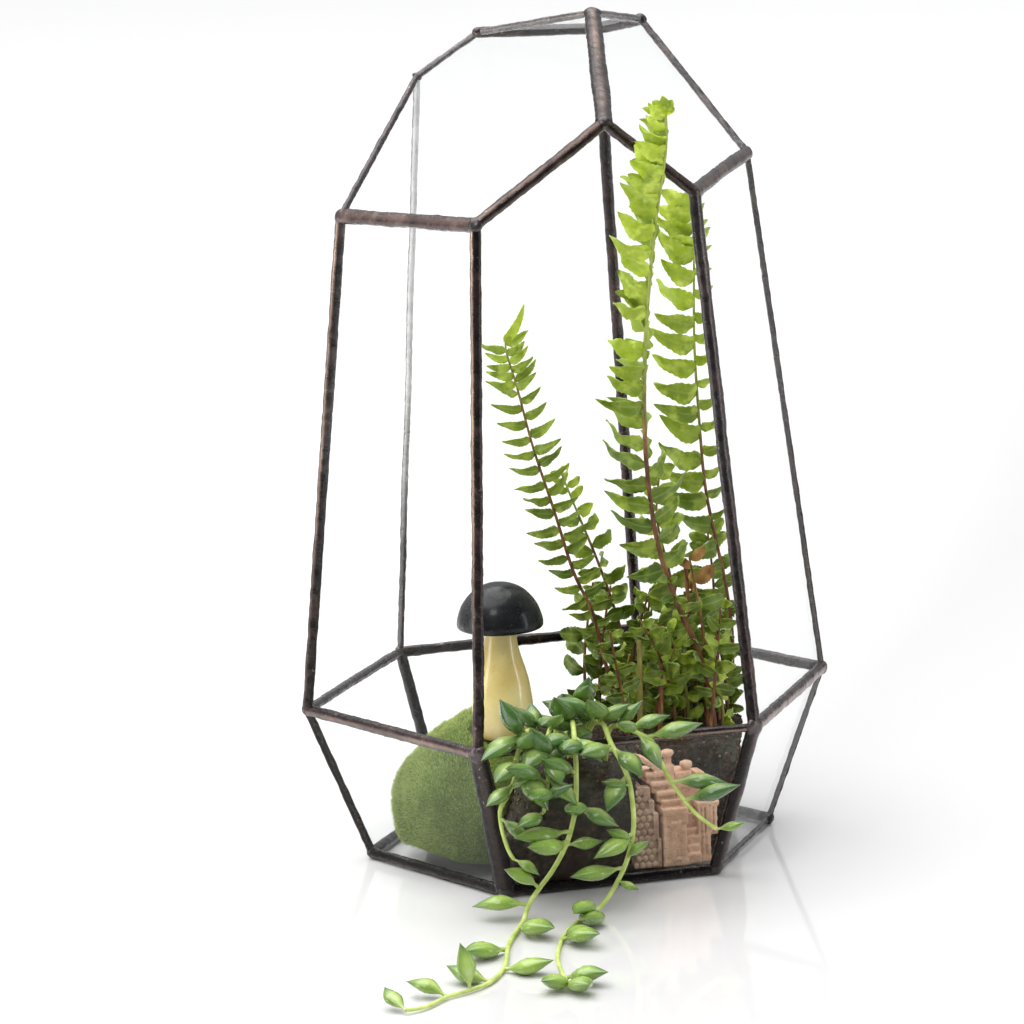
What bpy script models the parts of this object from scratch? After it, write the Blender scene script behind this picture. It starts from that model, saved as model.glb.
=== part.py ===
"""Geometric glass terrarium: flat panes in soldered seams, planted with ferns and trailing stems.

Lengths here are in millimetres and are turned into metres where a mesh is made. The origin is
under the middle of the base pane, +Z is up, and the open face of the case looks along -Y.
"""
import bmesh
import bpy
from math import cos, exp, hypot, pi, radians, sin
from mathutils import Matrix, Vector

MM = 0.001
GAP = 0.3                       # clearance between pieces that touch in the real thing

# Glass case
SEAM_RADIUS = 2.0               # soldered seam, 4 mm across
SEAM_SIDES = 10
PANE_THICKNESS = 2.0
PANE_INSET = SEAM_RADIUS + GAP  # from the line of a seam to the edge of the pane
FOOT_LEVEL = SEAM_RADIUS        # the lowest ring of seams rests on the ground
GIRDLE_LEVEL = 50.0
GIRDLE = {"front_left": (-49.8, -71.7), "front_right": (38.2, -71.7), "right": (83.5, -5.7),
          "back_right": (46.4, 71.9), "back_left": (-35.0, 71.4), "left": (-83.2, 5.8)}
SIDES = {"front": ("front_left", "front_right"), "right_front": ("front_right", "right"),
         "right_back": ("right", "back_right"), "back": ("back_right", "back_left"),
         "left_back": ("back_left", "left"), "left_front": ("left", "front_left")}
FOOT_INSET = {"front": 16.0, "right_front": 16.0, "right_back": 16.6,
              "back": 16.3, "left_back": 15.8, "left_front": 17.1}
WALL_LEAN = {"front": 5.97, "right_front": 6.10, "right_back": 6.14,
             "back": 5.80, "left_back": 5.17, "left_front": 5.40}
# Roof planes: the way each faces, how steeply, and its distance from the origin
ROOF = {"roof_left": (199.0, 55.8, 204.35), "roof_right": (322.6, 45.3, 191.32),
        "roof_back": (82.9, 76.3, 258.04)}
CROWN = {"left_peak": ("left_front", "left_back", "roof_left"),
         "front_left_peak": ("left_front", "front", "roof_left"),
         "front_apex": ("front", "roof_left", "roof_right"),
         "front_right_peak": ("front", "right_front", "roof_right"),
         "right_peak": ("right_front", "right_back", "roof_right"),
         "summit": ("roof_left", "roof_right", "roof_back"),
         "right_crest": ("right_back", "roof_right", "roof_back"),
         "left_crest": ("back", "roof_left", "roof_back"),
         "back_left_peak": ("back", "left_back", "roof_left"),
         "back_right_peak": ("right_back", "back", "roof_back")}
CROWN_LOOP = ("left_peak", "front_left_peak", "front_apex", "front_right_peak", "right_peak",
              "right_crest", "back_right_peak", "left_crest", "back_left_peak")
CROWN_RIBS = (("front_apex", "summit"), ("left_crest", "summit"), ("right_crest", "summit"))
UPPER_POSTS = {"left": "left_peak", "front_left": "front_left_peak",
               "front_right": "front_right_peak", "right": "right_peak",
               "back_right": "back_right_peak", "back_left": "back_left_peak"}
WALL_TOPS = {"right_front": ("right_peak", "front_right_peak"),
             "right_back": ("back_right_peak", "right_crest", "right_peak"),
             "back": ("back_left_peak", "left_crest", "back_right_peak"),
             "left_back": ("left_peak", "back_left_peak"),
             "left_front": ("front_left_peak", "left_peak")}
ROOF_CORNERS = {"roof_left": ("left_peak", "front_left_peak", "front_apex", "summit",
                              "left_crest", "back_left_peak"),
                "roof_right": ("front_apex", "front_right_peak", "right_peak", "right_crest",
                               "summit"),
                "roof_back": ("summit", "right_crest", "back_right_peak", "left_crest")}

# Ground inside the case
BASE_PANE_TOP = 2.4
GROUND_FLOOR = BASE_PANE_TOP + GAP
GLASS_CLEAR = 2.4               # soil and moss stay this far inside the middle of a pane
SOIL_CENTRE = (8.0, -5.0)
SOIL_SECTORS = 40
SOIL_HEIGHT = 36.0
SOIL_EDGE_DROP = 2.5
SOIL_BACK = (-4.0, 46.0)        # the soil falls between these places along Y
SOIL_FALL = 10.0
SOIL_RIGHT = ((32.0, -55.7), (58.0, 8.0), 0.10)     # two points low on the right bank, its lean
SOIL_LEFT = ((-43.0, -54.0), (-8.0, 48.0), 0.34)    # the same for the left bank
MOUND_CENTRE = (-30.0, -8.0)
MOUND_RADII = (29.5, 30.0)
MOUND_TOP = 48.5
MOUND_PROFILE = ((GROUND_FLOOR, 0.80, 0.62), (6.0, 0.93, 0.88), (10.0, 0.98, 0.99),
                 (18.0, 1.00, 1.06), (26.0, 0.97, 0.97), (33.0, 0.90, 0.82), (38.5, 0.80, 0.61),
                 (43.5, 0.63, 0.39), (47.4, 0.36, 0.20), (MOUND_TOP, 0.12, 0.08))
NICHE = ((2.5, 38.0), (-75.0, -35.5))               # where the ruin stands, x and y

# Ornaments
MUSHROOM_AT = (-27.0, -20.0)
MUSHROOM_FOOT = 41.5
MUSHROOM_FOOT_RADIUS = 8.4
CAP_SEAT = 78.0
CAP_RADIUS = 13.5
CAP_TOP = 91.0
MUSHROOM_SEAT_RADIUS = 10.2
SPIGOT_RADIUS = 2.5
SPIGOT_TOP = 82.0
RUIN_FRONT = -52.0
RUIN_BACK = -37.0
RUIN_BODY = ((14.6, RUIN_FRONT, GROUND_FLOOR), (22.2, RUIN_BACK, 17.0))
RUIN_BLOCKS = {
    # name: low corner and high corner of each block that joins the body
    "pillar_head": ((14.4, -51.5, 16.0), (22.6, -37.1, 21.4)),
    "back_wall": ((18.6, -46.0, 18.0), (30.8, -37.2, 29.6)),
    "merlon": ((19.2, -45.6, 29.0), (26.4, -37.3, 31.2)),
    "side_wall": ((26.2, -49.6, 2.75), (30.8, -37.4, 12.0)),
    "side_top": ((26.6, -49.2, 11.0), (33.2, -37.5, 21.8)),
    "low_step_1": ((21.0, -51.4, 2.8), (27.4, -37.6, 6.9)),
    "low_step_2": ((21.0, -50.1, 2.8), (26.8, -37.6, 10.5)),
    "low_step_3": ((21.0, -48.8, 2.8), (26.2, -37.6, 14.1)),
    "flight_1": ((16.2, -50.0, 17.1), (22.6, -37.15, 20.8)),
    "flight_2": ((14.8, -49.3, 20.0), (21.2, -37.15, 23.7)),
    "flight_3": ((13.4, -48.6, 22.9), (19.8, -37.15, 26.6)),
    "flight_4": ((12.0, -47.9, 25.8), (18.4, -37.15, 29.5)),
    "flight_5": ((10.6, -47.2, 28.7), (17.0, -37.15, 32.4))}
BOLLARDS = ((18.3, -45.6, 39.0), (24.8, -43.8, 34.4))   # x, y and top of each bollard
BOLLARD_ROOT = 22.0
ARCH = ((5.4, -44.5, 28.9), (4.4, -44.5, 32.2), (5.4, -44.5, 35.8), (8.4, -44.5, 37.0),
        (12.0, -44.5, 35.0), (16.8, -44.5, 31.2))
ARCH_SECTION = (2.3, 1.0)       # half of its depth and half of its thickness
COBBLED_WALL = ((GROUND_FLOOR, 4.6, 14.2, -50.5), (12.0, 4.4, 13.8, -49.7),
                (20.0, 4.8, 12.7, -48.8), (24.0, 5.2, 11.6, -48.2),
                (28.4, 5.6, 10.0, -47.6))               # level, left, right and front
COBBLE_ROWS = 5
COBBLE_PITCH = (2.7, 4.2)       # from one cobble to the next, across and up
COBBLE_SIZE = (1.05, 1.6)

# Stems and leaves
RACHIS_WIDTH = 1.4
RACHIS_THICKNESS = 1.2
PINNA_THICKNESS = 0.7
STEM_HOLE_RADIUS = 1.4
STEM_RADIUS = 0.7
STEM_SIDES = 5
LEAF_SIDES = 5
FLOOR_STEM = STEM_RADIUS + 0.35 # middle of a stem that lies on the ground


# Small helpers

def material(name, colour, roughness, metallic=0.0, alpha=1.0):
    """A Principled material with one colour."""
    made = bpy.data.materials.get(name) or bpy.data.materials.new(name)
    made.use_nodes = True
    shader = made.node_tree.nodes["Principled BSDF"]
    shader.inputs["Base Color"].default_value = (*colour, 1.0)
    shader.inputs["Roughness"].default_value = roughness
    shader.inputs["Metallic"].default_value = metallic
    shader.inputs["Alpha"].default_value = alpha
    return made


def solid(name, points, faces, look, smooth=False):
    """One closed mesh object from points in millimetres, with its faces turned outwards."""
    mesh = bpy.data.meshes.new(name)
    mesh.from_pydata([Vector(p) * MM for p in points], [], faces)
    tool = bmesh.new()
    tool.from_mesh(mesh)
    bmesh.ops.recalc_face_normals(tool, faces=tool.faces)
    if tool.calc_volume(signed=True) < 0.0:
        bmesh.ops.reverse_faces(tool, faces=tool.faces)
    tool.to_mesh(mesh)
    tool.free()
    mesh.materials.append(look)
    if smooth:
        mesh.shade_smooth()
        mesh.set_sharp_from_angle(angle=radians(50))
    made = bpy.data.objects.new(name, mesh)
    bpy.context.scene.collection.objects.link(made)
    return made


def split_to_triangles(mesh):
    """Give a mesh flat faces only, so that a Boolean cuts it exactly."""
    tool = bmesh.new()
    tool.from_mesh(mesh)
    bmesh.ops.triangulate(tool, faces=tool.faces)
    tool.to_mesh(mesh)
    tool.free()


def combine(target, operands, operation):
    """Apply one Boolean of several objects to the target and take the operands away."""
    for item in [target] + operands:
        split_to_triangles(item.data)
    group = bpy.data.collections.new(target.name + "_operands")
    bpy.context.scene.collection.children.link(group)
    for operand in operands:
        operand.hide_render = True
        operand.display_type = "WIRE"
        group.objects.link(operand)
        bpy.context.scene.collection.objects.unlink(operand)
    step = target.modifiers.new("combine", "BOOLEAN")
    step.operation = operation
    step.solver = "EXACT"
    step.operand_type = "COLLECTION"
    step.collection = group
    depsgraph = bpy.context.evaluated_depsgraph_get()
    shaped = bpy.data.meshes.new_from_object(target.evaluated_get(depsgraph))
    target.modifiers.clear()
    target.data = shaped
    for operand in operands:
        bpy.data.objects.remove(operand)
    bpy.data.collections.remove(group)
    return target


def ring_of(centre, side, up, radii, count, turn=0.0):
    """Points round an ellipse in the plane of two directions."""
    points = []
    for i in range(count):
        angle = turn + 2.0 * pi * i / count
        points.append(centre + side * (radii[0] * cos(angle)) + up * (radii[1] * sin(angle)))
    return points


def loft(rings, closed=False):
    """Points and faces of a skin through rings of equal count, capped unless it is a loop."""
    count = len(rings[0])
    points = [p for ring in rings for p in ring]
    faces = []
    for j in range(len(rings) if closed else len(rings) - 1):
        low = j * count
        high = ((j + 1) % len(rings)) * count
        for i in range(count):
            k = (i + 1) % count
            faces.append((low + i, low + k, high + k, high + i))
    if not closed:
        faces.append(tuple(reversed(range(count))))
        faces.append(tuple(range(len(points) - count, len(points))))
    return points, faces


def box(name, low, high, look):
    """A block between two corners."""
    points = [(x, y, z) for z in (low[2], high[2]) for y in (low[1], high[1])
              for x in (low[0], high[0])]
    faces = [(0, 1, 3, 2), (4, 6, 7, 5), (0, 4, 5, 1), (2, 3, 7, 6), (0, 2, 6, 4), (1, 5, 7, 3)]
    return solid(name, points, faces, look)


def rod(name, start, end, radius, sides, look, end_radius=None):
    """A straight round bar, which may taper."""
    along = (end - start).normalized()
    side = along.orthogonal().normalized()
    up = along.cross(side)
    tip = radius if end_radius is None else end_radius
    rings = [ring_of(start, side, up, (radius, radius), sides),
             ring_of(end, side, up, (tip, tip), sides)]
    return solid(name, *loft(rings), look)


def turned(name, centre, profile, sides, look):
    """A solid turned about a vertical line, from a profile of radius and height."""
    rings = []
    for radius, height in profile:
        middle = Vector((centre[0], centre[1], height))
        rings.append(ring_of(middle, Vector((1, 0, 0)), Vector((0, 1, 0)), (radius, radius), sides))
    return solid(name, *loft(rings), look, smooth=True)


def smooth_path(route, step):
    """Points at nearly even spacing on a curve through the route's own points."""
    knots = [Vector(p) for p in route]
    knots = [knots[0] * 2 - knots[1]] + knots + [knots[-1] * 2 - knots[-2]]
    path = []
    for i in range(1, len(knots) - 2):
        a, b, c, d = knots[i - 1:i + 3]
        parts = max(1, round((c - b).length / step))
        for j in range(parts):
            t = j / parts
            path.append(0.5 * (2 * b + (c - a) * t + (2 * a - 5 * b + 4 * c - d) * t ** 2
                               + (3 * b - a - 3 * c + d) * t ** 3))
    path.append(knots[-2])
    return path


def directions(path):
    """The way the path runs at each of its points."""
    last = len(path) - 1
    return [(path[min(i + 1, last)] - path[max(i - 1, 0)]).normalized() for i in range(last + 1)]


# The planes of the case and where they meet

def wall_planes():
    """Outward normal and offset of each lower and upper wall, from the girdle's sides."""
    lower = {}
    upper = {}
    drop = GIRDLE_LEVEL - FOOT_LEVEL
    for side, (a, b) in SIDES.items():
        start = Vector((*GIRDLE[a], GIRDLE_LEVEL))
        end = Vector((*GIRDLE[b], GIRDLE_LEVEL))
        edge = (end - start).normalized()
        out = edge.cross(Vector((0, 0, 1)))
        normal = (out * drop - Vector((0, 0, 1)) * FOOT_INSET[side]).normalized()
        lower[side] = (normal, normal.dot(start))
        lean = radians(WALL_LEAN[side])
        normal = (out * cos(lean) + Vector((0, 0, 1)) * sin(lean)).normalized()
        upper[side] = (normal, normal.dot(start))
    return lower, upper


def roof_planes():
    """Outward normal and offset of each roof pane."""
    planes = {}
    for name, (heading, slope, distance) in ROOF.items():
        flat = cos(radians(slope))
        normal = Vector((flat * cos(radians(heading)), flat * sin(radians(heading)),
                         sin(radians(slope))))
        planes[name] = (normal, distance)
    return planes


def meet(one, two, three):
    """The point that three planes share."""
    rows = Matrix((one[0], two[0], three[0]))
    return rows.inverted() @ Vector((one[1], two[1], three[1]))


def case_corners(lower, upper):
    """Every corner of the case: foot ring, girdle and crown."""
    ground = (Vector((0, 0, 1)), FOOT_LEVEL)
    corners = {"girdle_" + name: Vector((*xy, GIRDLE_LEVEL)) for name, xy in GIRDLE.items()}
    for name in GIRDLE:
        touching = [side for side, ends in SIDES.items() if name in ends]
        corners["foot_" + name] = meet(lower[touching[0]], lower[touching[1]], ground)
    planes = dict(upper, **roof_planes())
    for name, sides in CROWN.items():
        corners[name] = meet(*(planes[side] for side in sides))
    return corners


# Seams

def seam_ring(name, loop, look):
    """A mitred ring of seam through the corners of a closed loop."""
    rings = []
    count = len(loop)
    up = Vector((0, 0, 1))
    for i, corner in enumerate(loop):
        before = (corner - loop[i - 1]).normalized()
        after = (loop[(i + 1) % count] - corner).normalized()
        mitre = (before + after).normalized()
        ring = []
        side = before.cross(up).normalized()
        across = side.cross(before)
        for point in ring_of(corner, side, across, (SEAM_RADIUS, SEAM_RADIUS), SEAM_SIDES,
                             pi / SEAM_SIDES):
            shift = mitre.dot(corner - point) / mitre.dot(before)
            ring.append(point + before * shift)
        rings.append(ring)
    return solid(name, *loft(rings, closed=True), look)


def trim_for(corner, other_end, rim_neighbours):
    """How far a post stops short of a corner so that it clears the rim's seams."""
    along = (other_end - corner).normalized()
    trim = SEAM_RADIUS + GAP
    for neighbour in rim_neighbours:
        cosine = along.dot((neighbour - corner).normalized())
        sine = (1.0 - cosine ** 2) ** 0.5
        trim = max(trim, (SEAM_RADIUS * (1.0 + cosine) + GAP) / sine)
    return trim


def post(name, low, high, low_rim, high_rim, look):
    """One seam between two rims, clear of both."""
    along = (high - low).normalized()
    start = low + along * trim_for(low, high, low_rim)
    end = high - along * trim_for(high, low, high_rim)
    return rod(name, start, end, SEAM_RADIUS, SEAM_SIDES, look)


def neighbours(loop, name):
    """The two corners beside one corner of a loop."""
    place = loop.index(name)
    return [loop[place - 1], loop[(place + 1) % len(loop)]]


def build_seams(corners):
    """The three rims and the twelve posts."""
    look = material("patina_solder", (0.045, 0.036, 0.034), 0.38, 0.9)
    names = list(GIRDLE)
    foot_loop = ["foot_" + n for n in names]
    girdle_loop = ["girdle_" + n for n in names]
    seam_ring("base_rim", [corners[n] for n in foot_loop], look)
    seam_ring("girdle_rim", [corners[n] for n in girdle_loop], look)
    crown = seam_ring("crown_rim", [corners[n] for n in CROWN_LOOP], look)
    ribs = []
    for start, end in CROWN_RIBS:
        along = (corners[end] - corners[start]).normalized()
        ribs.append(rod("rib", corners[start], corners[end] + along * 1.0, SEAM_RADIUS,
                        SEAM_SIDES, look))
    combine(crown, ribs, "UNION")
    for name in names:
        foot = "foot_" + name
        girdle = "girdle_" + name
        peak = UPPER_POSTS[name]
        beside_foot = [corners[n] for n in neighbours(foot_loop, foot)]
        beside_girdle = [corners[n] for n in neighbours(girdle_loop, girdle)]
        beside_peak = [corners[n] for n in neighbours(CROWN_LOOP, peak)]
        post("lower_post_" + name, corners[foot], corners[girdle], beside_foot, beside_girdle,
             look)
        post("upper_post_" + name, corners[girdle], corners[peak], beside_girdle, beside_peak,
             look)


# Panes

def inset_outline(outline, inset):
    """The outline's corners moved in so that every edge lies deeper by the inset."""
    normal = Vector((0, 0, 0))
    for i, corner in enumerate(outline):
        normal += corner.cross(outline[(i + 1) % len(outline)])
    normal.normalize()
    moved = []
    for i, corner in enumerate(outline):
        before = (corner - outline[i - 1]).normalized()
        after = (outline[(i + 1) % len(outline)] - corner).normalized()
        half = (before + after).normalized()
        inward = normal.cross(half)
        moved.append(corner + inward * (inset / half.dot(after)))
    return moved, normal


def pane(name, outline, look):
    """A flat plate in the plane of its outline, set in from the seams."""
    moved, normal = inset_outline(outline, PANE_INSET)
    half = normal * (PANE_THICKNESS / 2)
    rings = [[p - half for p in moved], [p + half for p in moved]]
    return solid(name, *loft(rings), look)


def build_panes(corners):
    """Base, six lower panes, five upper walls and three roof panes; the front stays open."""
    look = material("clear_glass", (0.93, 0.97, 0.96), 0.03, 0.0, 0.35)
    floor_outline, _ = inset_outline([corners["foot_" + n] for n in GIRDLE], PANE_INSET)
    rings = [[Vector((p.x, p.y, z)) for p in floor_outline] for z in (0.0, BASE_PANE_TOP)]
    solid("pane_base", *loft(rings), look)
    for side, (a, b) in SIDES.items():
        outline = [corners["girdle_" + a], corners["girdle_" + b],
                   corners["foot_" + b], corners["foot_" + a]]
        pane("pane_lower_" + side, outline, look)
    for side, tops in WALL_TOPS.items():
        a, b = SIDES[side]
        outline = [corners["girdle_" + a], corners["girdle_" + b]]
        pane("pane_upper_" + side, outline + [corners[n] for n in tops], look)
    for name, outline in ROOF_CORNERS.items():
        pane("pane_" + name, [corners[n] for n in outline], look)


# Soil, moss and ornaments

def bank_plane(bank):
    """Plane of a sloping bank: outward normal and offset."""
    (ax, ay), (bx, by), lean = bank
    start = Vector((ax, ay, GROUND_FLOOR))
    run = Vector((bx - ax, by - ay, 0)).normalized()
    rise = Vector((lean, 0, 1))
    normal = run.cross(rise).normalized()
    middle = Vector((*SOIL_CENTRE, GROUND_FLOOR))
    if normal.dot(middle - start) > 0:
        normal = -normal
    return normal, normal.dot(start)


def reach(centre, heading, level, planes, clear):
    """Distance from a centre along a heading at one level until the first plane's clearance."""
    start = Vector((*centre, level))
    ray = Vector((cos(heading), sin(heading), 0))
    best = 1000.0
    for normal, offset in planes:
        facing = normal.dot(ray)
        if facing > 1e-6:
            best = min(best, (offset - clear - normal.dot(start)) / facing)
    return best


def soil_surface(x, y):
    """Height of the soil: a heap by the trailing plant, a rise under the ferns, small lumps.

    Behind the ferns it slopes down towards the back of the case.
    """
    heap = 6.5 * exp(-((x + 18) ** 2 + (y + 52) ** 2) / 18.0 ** 2)
    rise = 2.5 * exp(-((x - 30) ** 2 + (y - 5) ** 2) / 28.0 ** 2)
    lumps = 0.7 * sin(0.31 * x + 0.6) * cos(0.27 * y)
    back = min(max((y - SOIL_BACK[0]) / (SOIL_BACK[1] - SOIL_BACK[0]), 0.0), 1.0)
    return SOIL_HEIGHT + heap + rise + lumps - SOIL_FALL * back * back * (3.0 - 2.0 * back)


def soil_holes(stems, look):
    """Plain round holes along the first stretch of every stem."""
    holes = []
    for foot, rise in stems:
        start = Vector(foot)
        along = (Vector(rise) - start).normalized()
        holes.append(rod("hole", start - along * GAP, Vector(rise) + along * 3.0,
                         STEM_HOLE_RADIUS, 8, look))
    return holes


def build_soil(lower, stems):
    """Packed soil from a polar grid, with a niche for the ruin and holes for the stems."""
    look = material("dark_soil", (0.030, 0.021, 0.015), 0.95)
    glass = list(lower.values())
    banks = [bank_plane(SOIL_RIGHT), bank_plane(SOIL_LEFT)]
    headings = [2.0 * pi * (i + 0.5) / SOIL_SECTORS for i in range(SOIL_SECTORS)]

    def rim(heading, level):
        walls = reach(SOIL_CENTRE, heading, level, glass, GLASS_CLEAR)
        return min(walls, reach(SOIL_CENTRE, heading, level, banks, 0.0))

    def at(heading, radius):
        return SOIL_CENTRE[0] + radius * cos(heading), SOIL_CENTRE[1] + radius * sin(heading)

    rings = []
    for level in (GROUND_FLOOR, 18.0):
        rings.append([Vector((*at(a, rim(a, level)), level)) for a in headings])
    edges = []
    for a in headings:
        level = SOIL_HEIGHT
        for _ in range(6):
            level = soil_surface(*at(a, rim(a, level))) - SOIL_EDGE_DROP
        edges.append(rim(a, level))
    for share in (1.0, 0.86, 0.55, 0.25):
        ring = []
        for a, edge in zip(headings, edges):
            x, y = at(a, edge * share)
            drop = SOIL_EDGE_DROP if share == 1.0 else 0.0
            ring.append(Vector((x, y, soil_surface(x, y) - drop)))
        rings.append(ring)
    soil = solid("soil", *loft(rings), look)
    (x0, x1), (y0, y1) = NICHE
    cutters = [box("niche", (x0, y0, 0.0), (x1, y1, 70.0), look)]
    combine(soil, cutters, "DIFFERENCE")
    combine(soil, soil_holes(stems, look), "DIFFERENCE")
    return soil


def build_moss(lower):
    """A bun of moss that leans against the soil's left bank, with a seat for the ornament."""
    look = material("moss_green", (0.10, 0.22, 0.035), 0.95)
    glass = list(lower.values())
    normal, offset = bank_plane(SOIL_LEFT)
    count = 26
    rings = []
    for level, front_share, left_share in MOUND_PROFILE:
        ring = []
        for i in range(count):
            a = 2.0 * pi * i / count
            oval = hypot(MOUND_RADII[0] * cos(a), MOUND_RADII[1] * sin(a))
            leftward = max(0.0, -cos(a)) ** 0.8
            share = front_share + (left_share - front_share) * leftward
            bumps = 1.0 + 0.025 * sin(3 * a + 0.12 * level) + 0.02 * sin(7 * a - 0.2 * level)
            radius = min(oval * share * bumps, reach(MOUND_CENTRE, a, level, glass, GLASS_CLEAR))
            ring.append(Vector((MOUND_CENTRE[0] + radius * cos(a),
                                MOUND_CENTRE[1] + radius * sin(a), level)))
        rings.append(ring)
    moss = solid("moss_mound", *loft(rings), look)
    tool = bmesh.new()
    tool.from_mesh(moss.data)
    cut_at = (normal * (offset + GAP)) * MM
    whole = tool.verts[:] + tool.edges[:] + tool.faces[:]
    done = bmesh.ops.bisect_plane(tool, geom=whole, plane_co=cut_at, plane_no=-normal,
                                  clear_outer=True)
    rim = [e for e in done["geom_cut"] if isinstance(e, bmesh.types.BMEdge)]
    bmesh.ops.contextual_create(tool, geom=rim)
    bmesh.ops.recalc_face_normals(tool, faces=tool.faces)
    tool.to_mesh(moss.data)
    tool.free()
    x, y = MUSHROOM_AT
    seat = rod("seat", Vector((x, y, MUSHROOM_FOOT - GAP)), Vector((x, y, MOUND_TOP + 5)),
               MUSHROOM_SEAT_RADIUS, 20, look)
    combine(moss, [seat], "DIFFERENCE")
    return moss


def build_mushroom():
    """Plain glazed mushroom: a plump pale stem and a dark cap that sits on its spigot."""
    cream = material("cream_glaze", (0.80, 0.68, 0.36), 0.22)
    charcoal = material("charcoal_glaze", (0.035, 0.037, 0.040), 0.25)
    stem = [(MUSHROOM_FOOT_RADIUS - 1.0, MUSHROOM_FOOT), (MUSHROOM_FOOT_RADIUS, 43.5),
            (9.6, 50.0), (9.3, 56.0), (7.8, 63.0), (6.0, 69.0), (5.0, 74.0),
            (4.8, CAP_SEAT), (SPIGOT_RADIUS, CAP_SEAT), (SPIGOT_RADIUS, SPIGOT_TOP)]
    turned("mushroom_stem", MUSHROOM_AT, stem, 16, cream)
    socket = SPIGOT_RADIUS + GAP
    cap = [(socket, SPIGOT_TOP + GAP), (socket, CAP_SEAT + GAP),
           (8.5, CAP_SEAT + GAP), (12.6, CAP_SEAT - 1.5), (CAP_RADIUS, CAP_SEAT - 0.7),
           (13.2, 80.0), (11.4, 84.5), (8.0, 88.4), (4.0, 90.4), (1.0, CAP_TOP)]
    turned("mushroom_cap", MUSHROOM_AT, cap, 16, charcoal)


def bollard(place, stone):
    """A short round post with a waist, on the ruin's upper walls."""
    x, y, top = place
    profile = [(1.9, BOLLARD_ROOT), (1.9, top - 5.4), (1.2, top - 4.2), (1.2, top - 2.4),
               (1.9, top - 1.8), (1.9, top - 0.6), (1.0, top)]
    return turned("bollard", (x, y), profile, 10, stone)


def ruin_arch(stone):
    """What is left of an arch: a slim curved band from the flight to the cobbled wall."""
    band = smooth_path(ARCH, 2.4)
    rings = []
    for here, way in zip(band, directions(band)):
        rings.append(ring_of(here, Vector((0, 1, 0)), Vector((-way.z, 0, way.x)), ARCH_SECTION, 6))
    return solid("arch", *loft(rings), stone)


def cobbles(look):
    """Rows of blunt six-sided stones that stand out of the cobbled wall's front."""
    stones = []
    for row in range(COBBLE_ROWS):
        for place in range(3):
            centre = Vector((6.4 + COBBLE_PITCH[0] * place - 0.5 * (row % 2), -49.9 + 0.42 * row,
                             6.0 + COBBLE_PITCH[1] * row))
            if centre.x > 12.9 - 0.32 * row:
                continue
            rings = [ring_of(centre + Vector((0, depth, 0)), Vector((1, 0, 0)), Vector((0, 0, 1)),
                             (size * COBBLE_SIZE[0], size * COBBLE_SIZE[1]), 6)
                     for depth, size in ((-1.3, 0.8), (1.6, 1.0))]
            stones.append(solid("cobble", *loft(rings), look))
    return stones


def build_ruin():
    """Generic sandstone ruin with steps, bollards and a bit of arch, and its cobbled wall."""
    stone = material("sandstone", (0.62, 0.40, 0.27), 0.85)
    stairs = box("ruin_stairs", *RUIN_BODY, stone)
    blocks = [box(name, low, high, stone) for name, (low, high) in RUIN_BLOCKS.items()]
    blocks += [bollard(place, stone) for place in BOLLARDS]
    combine(stairs, blocks + [ruin_arch(stone)], "UNION")
    cobbled = material("cobble_brown", (0.30, 0.19, 0.13), 0.9)
    rings = []
    for level, x0, x1, y0 in COBBLED_WALL:
        rings.append([Vector((x0, y0 + 1.0, level)), Vector((x0 + 1.2, y0, level)),
                      Vector((x1 - 0.8, y0 - 0.3, level)), Vector((x1, y0 + 1.0, level)),
                      Vector((x1, RUIN_BACK, level)), Vector((x0, RUIN_BACK, level))])
    combine(solid("ruin_cobbles", *loft(rings), cobbled), cobbles(cobbled), "UNION")


# Ferns

def thick_sheet(name, centres, normals, halves, faces, look):
    """A closed blade: every point of a flat net pushed both ways along its normal."""
    count = len(centres)
    points = [c + n * h for c, n, h in zip(centres, normals, halves)]
    points += [c - n * h for c, n, h in zip(centres, normals, halves)]
    edges = {}
    for face in faces:
        for i, a in enumerate(face):
            edges[(a, face[(i + 1) % len(face)])] = True
    skin = [tuple(f) for f in faces]
    skin += [tuple(count + i for i in reversed(f)) for f in faces]
    for a, b in edges:
        if (b, a) not in edges:
            skin.append((b, a, count + a, count + b))
    return solid(name, points, skin, look)


def length_at(share, lengths):
    """Leaflet length at a share of the leafy stretch, between even steps of the list."""
    place = share * (len(lengths) - 1)
    low = min(int(place), len(lengths) - 2)
    return lengths[low] + (lengths[low + 1] - lengths[low]) * (place - low)


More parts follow.
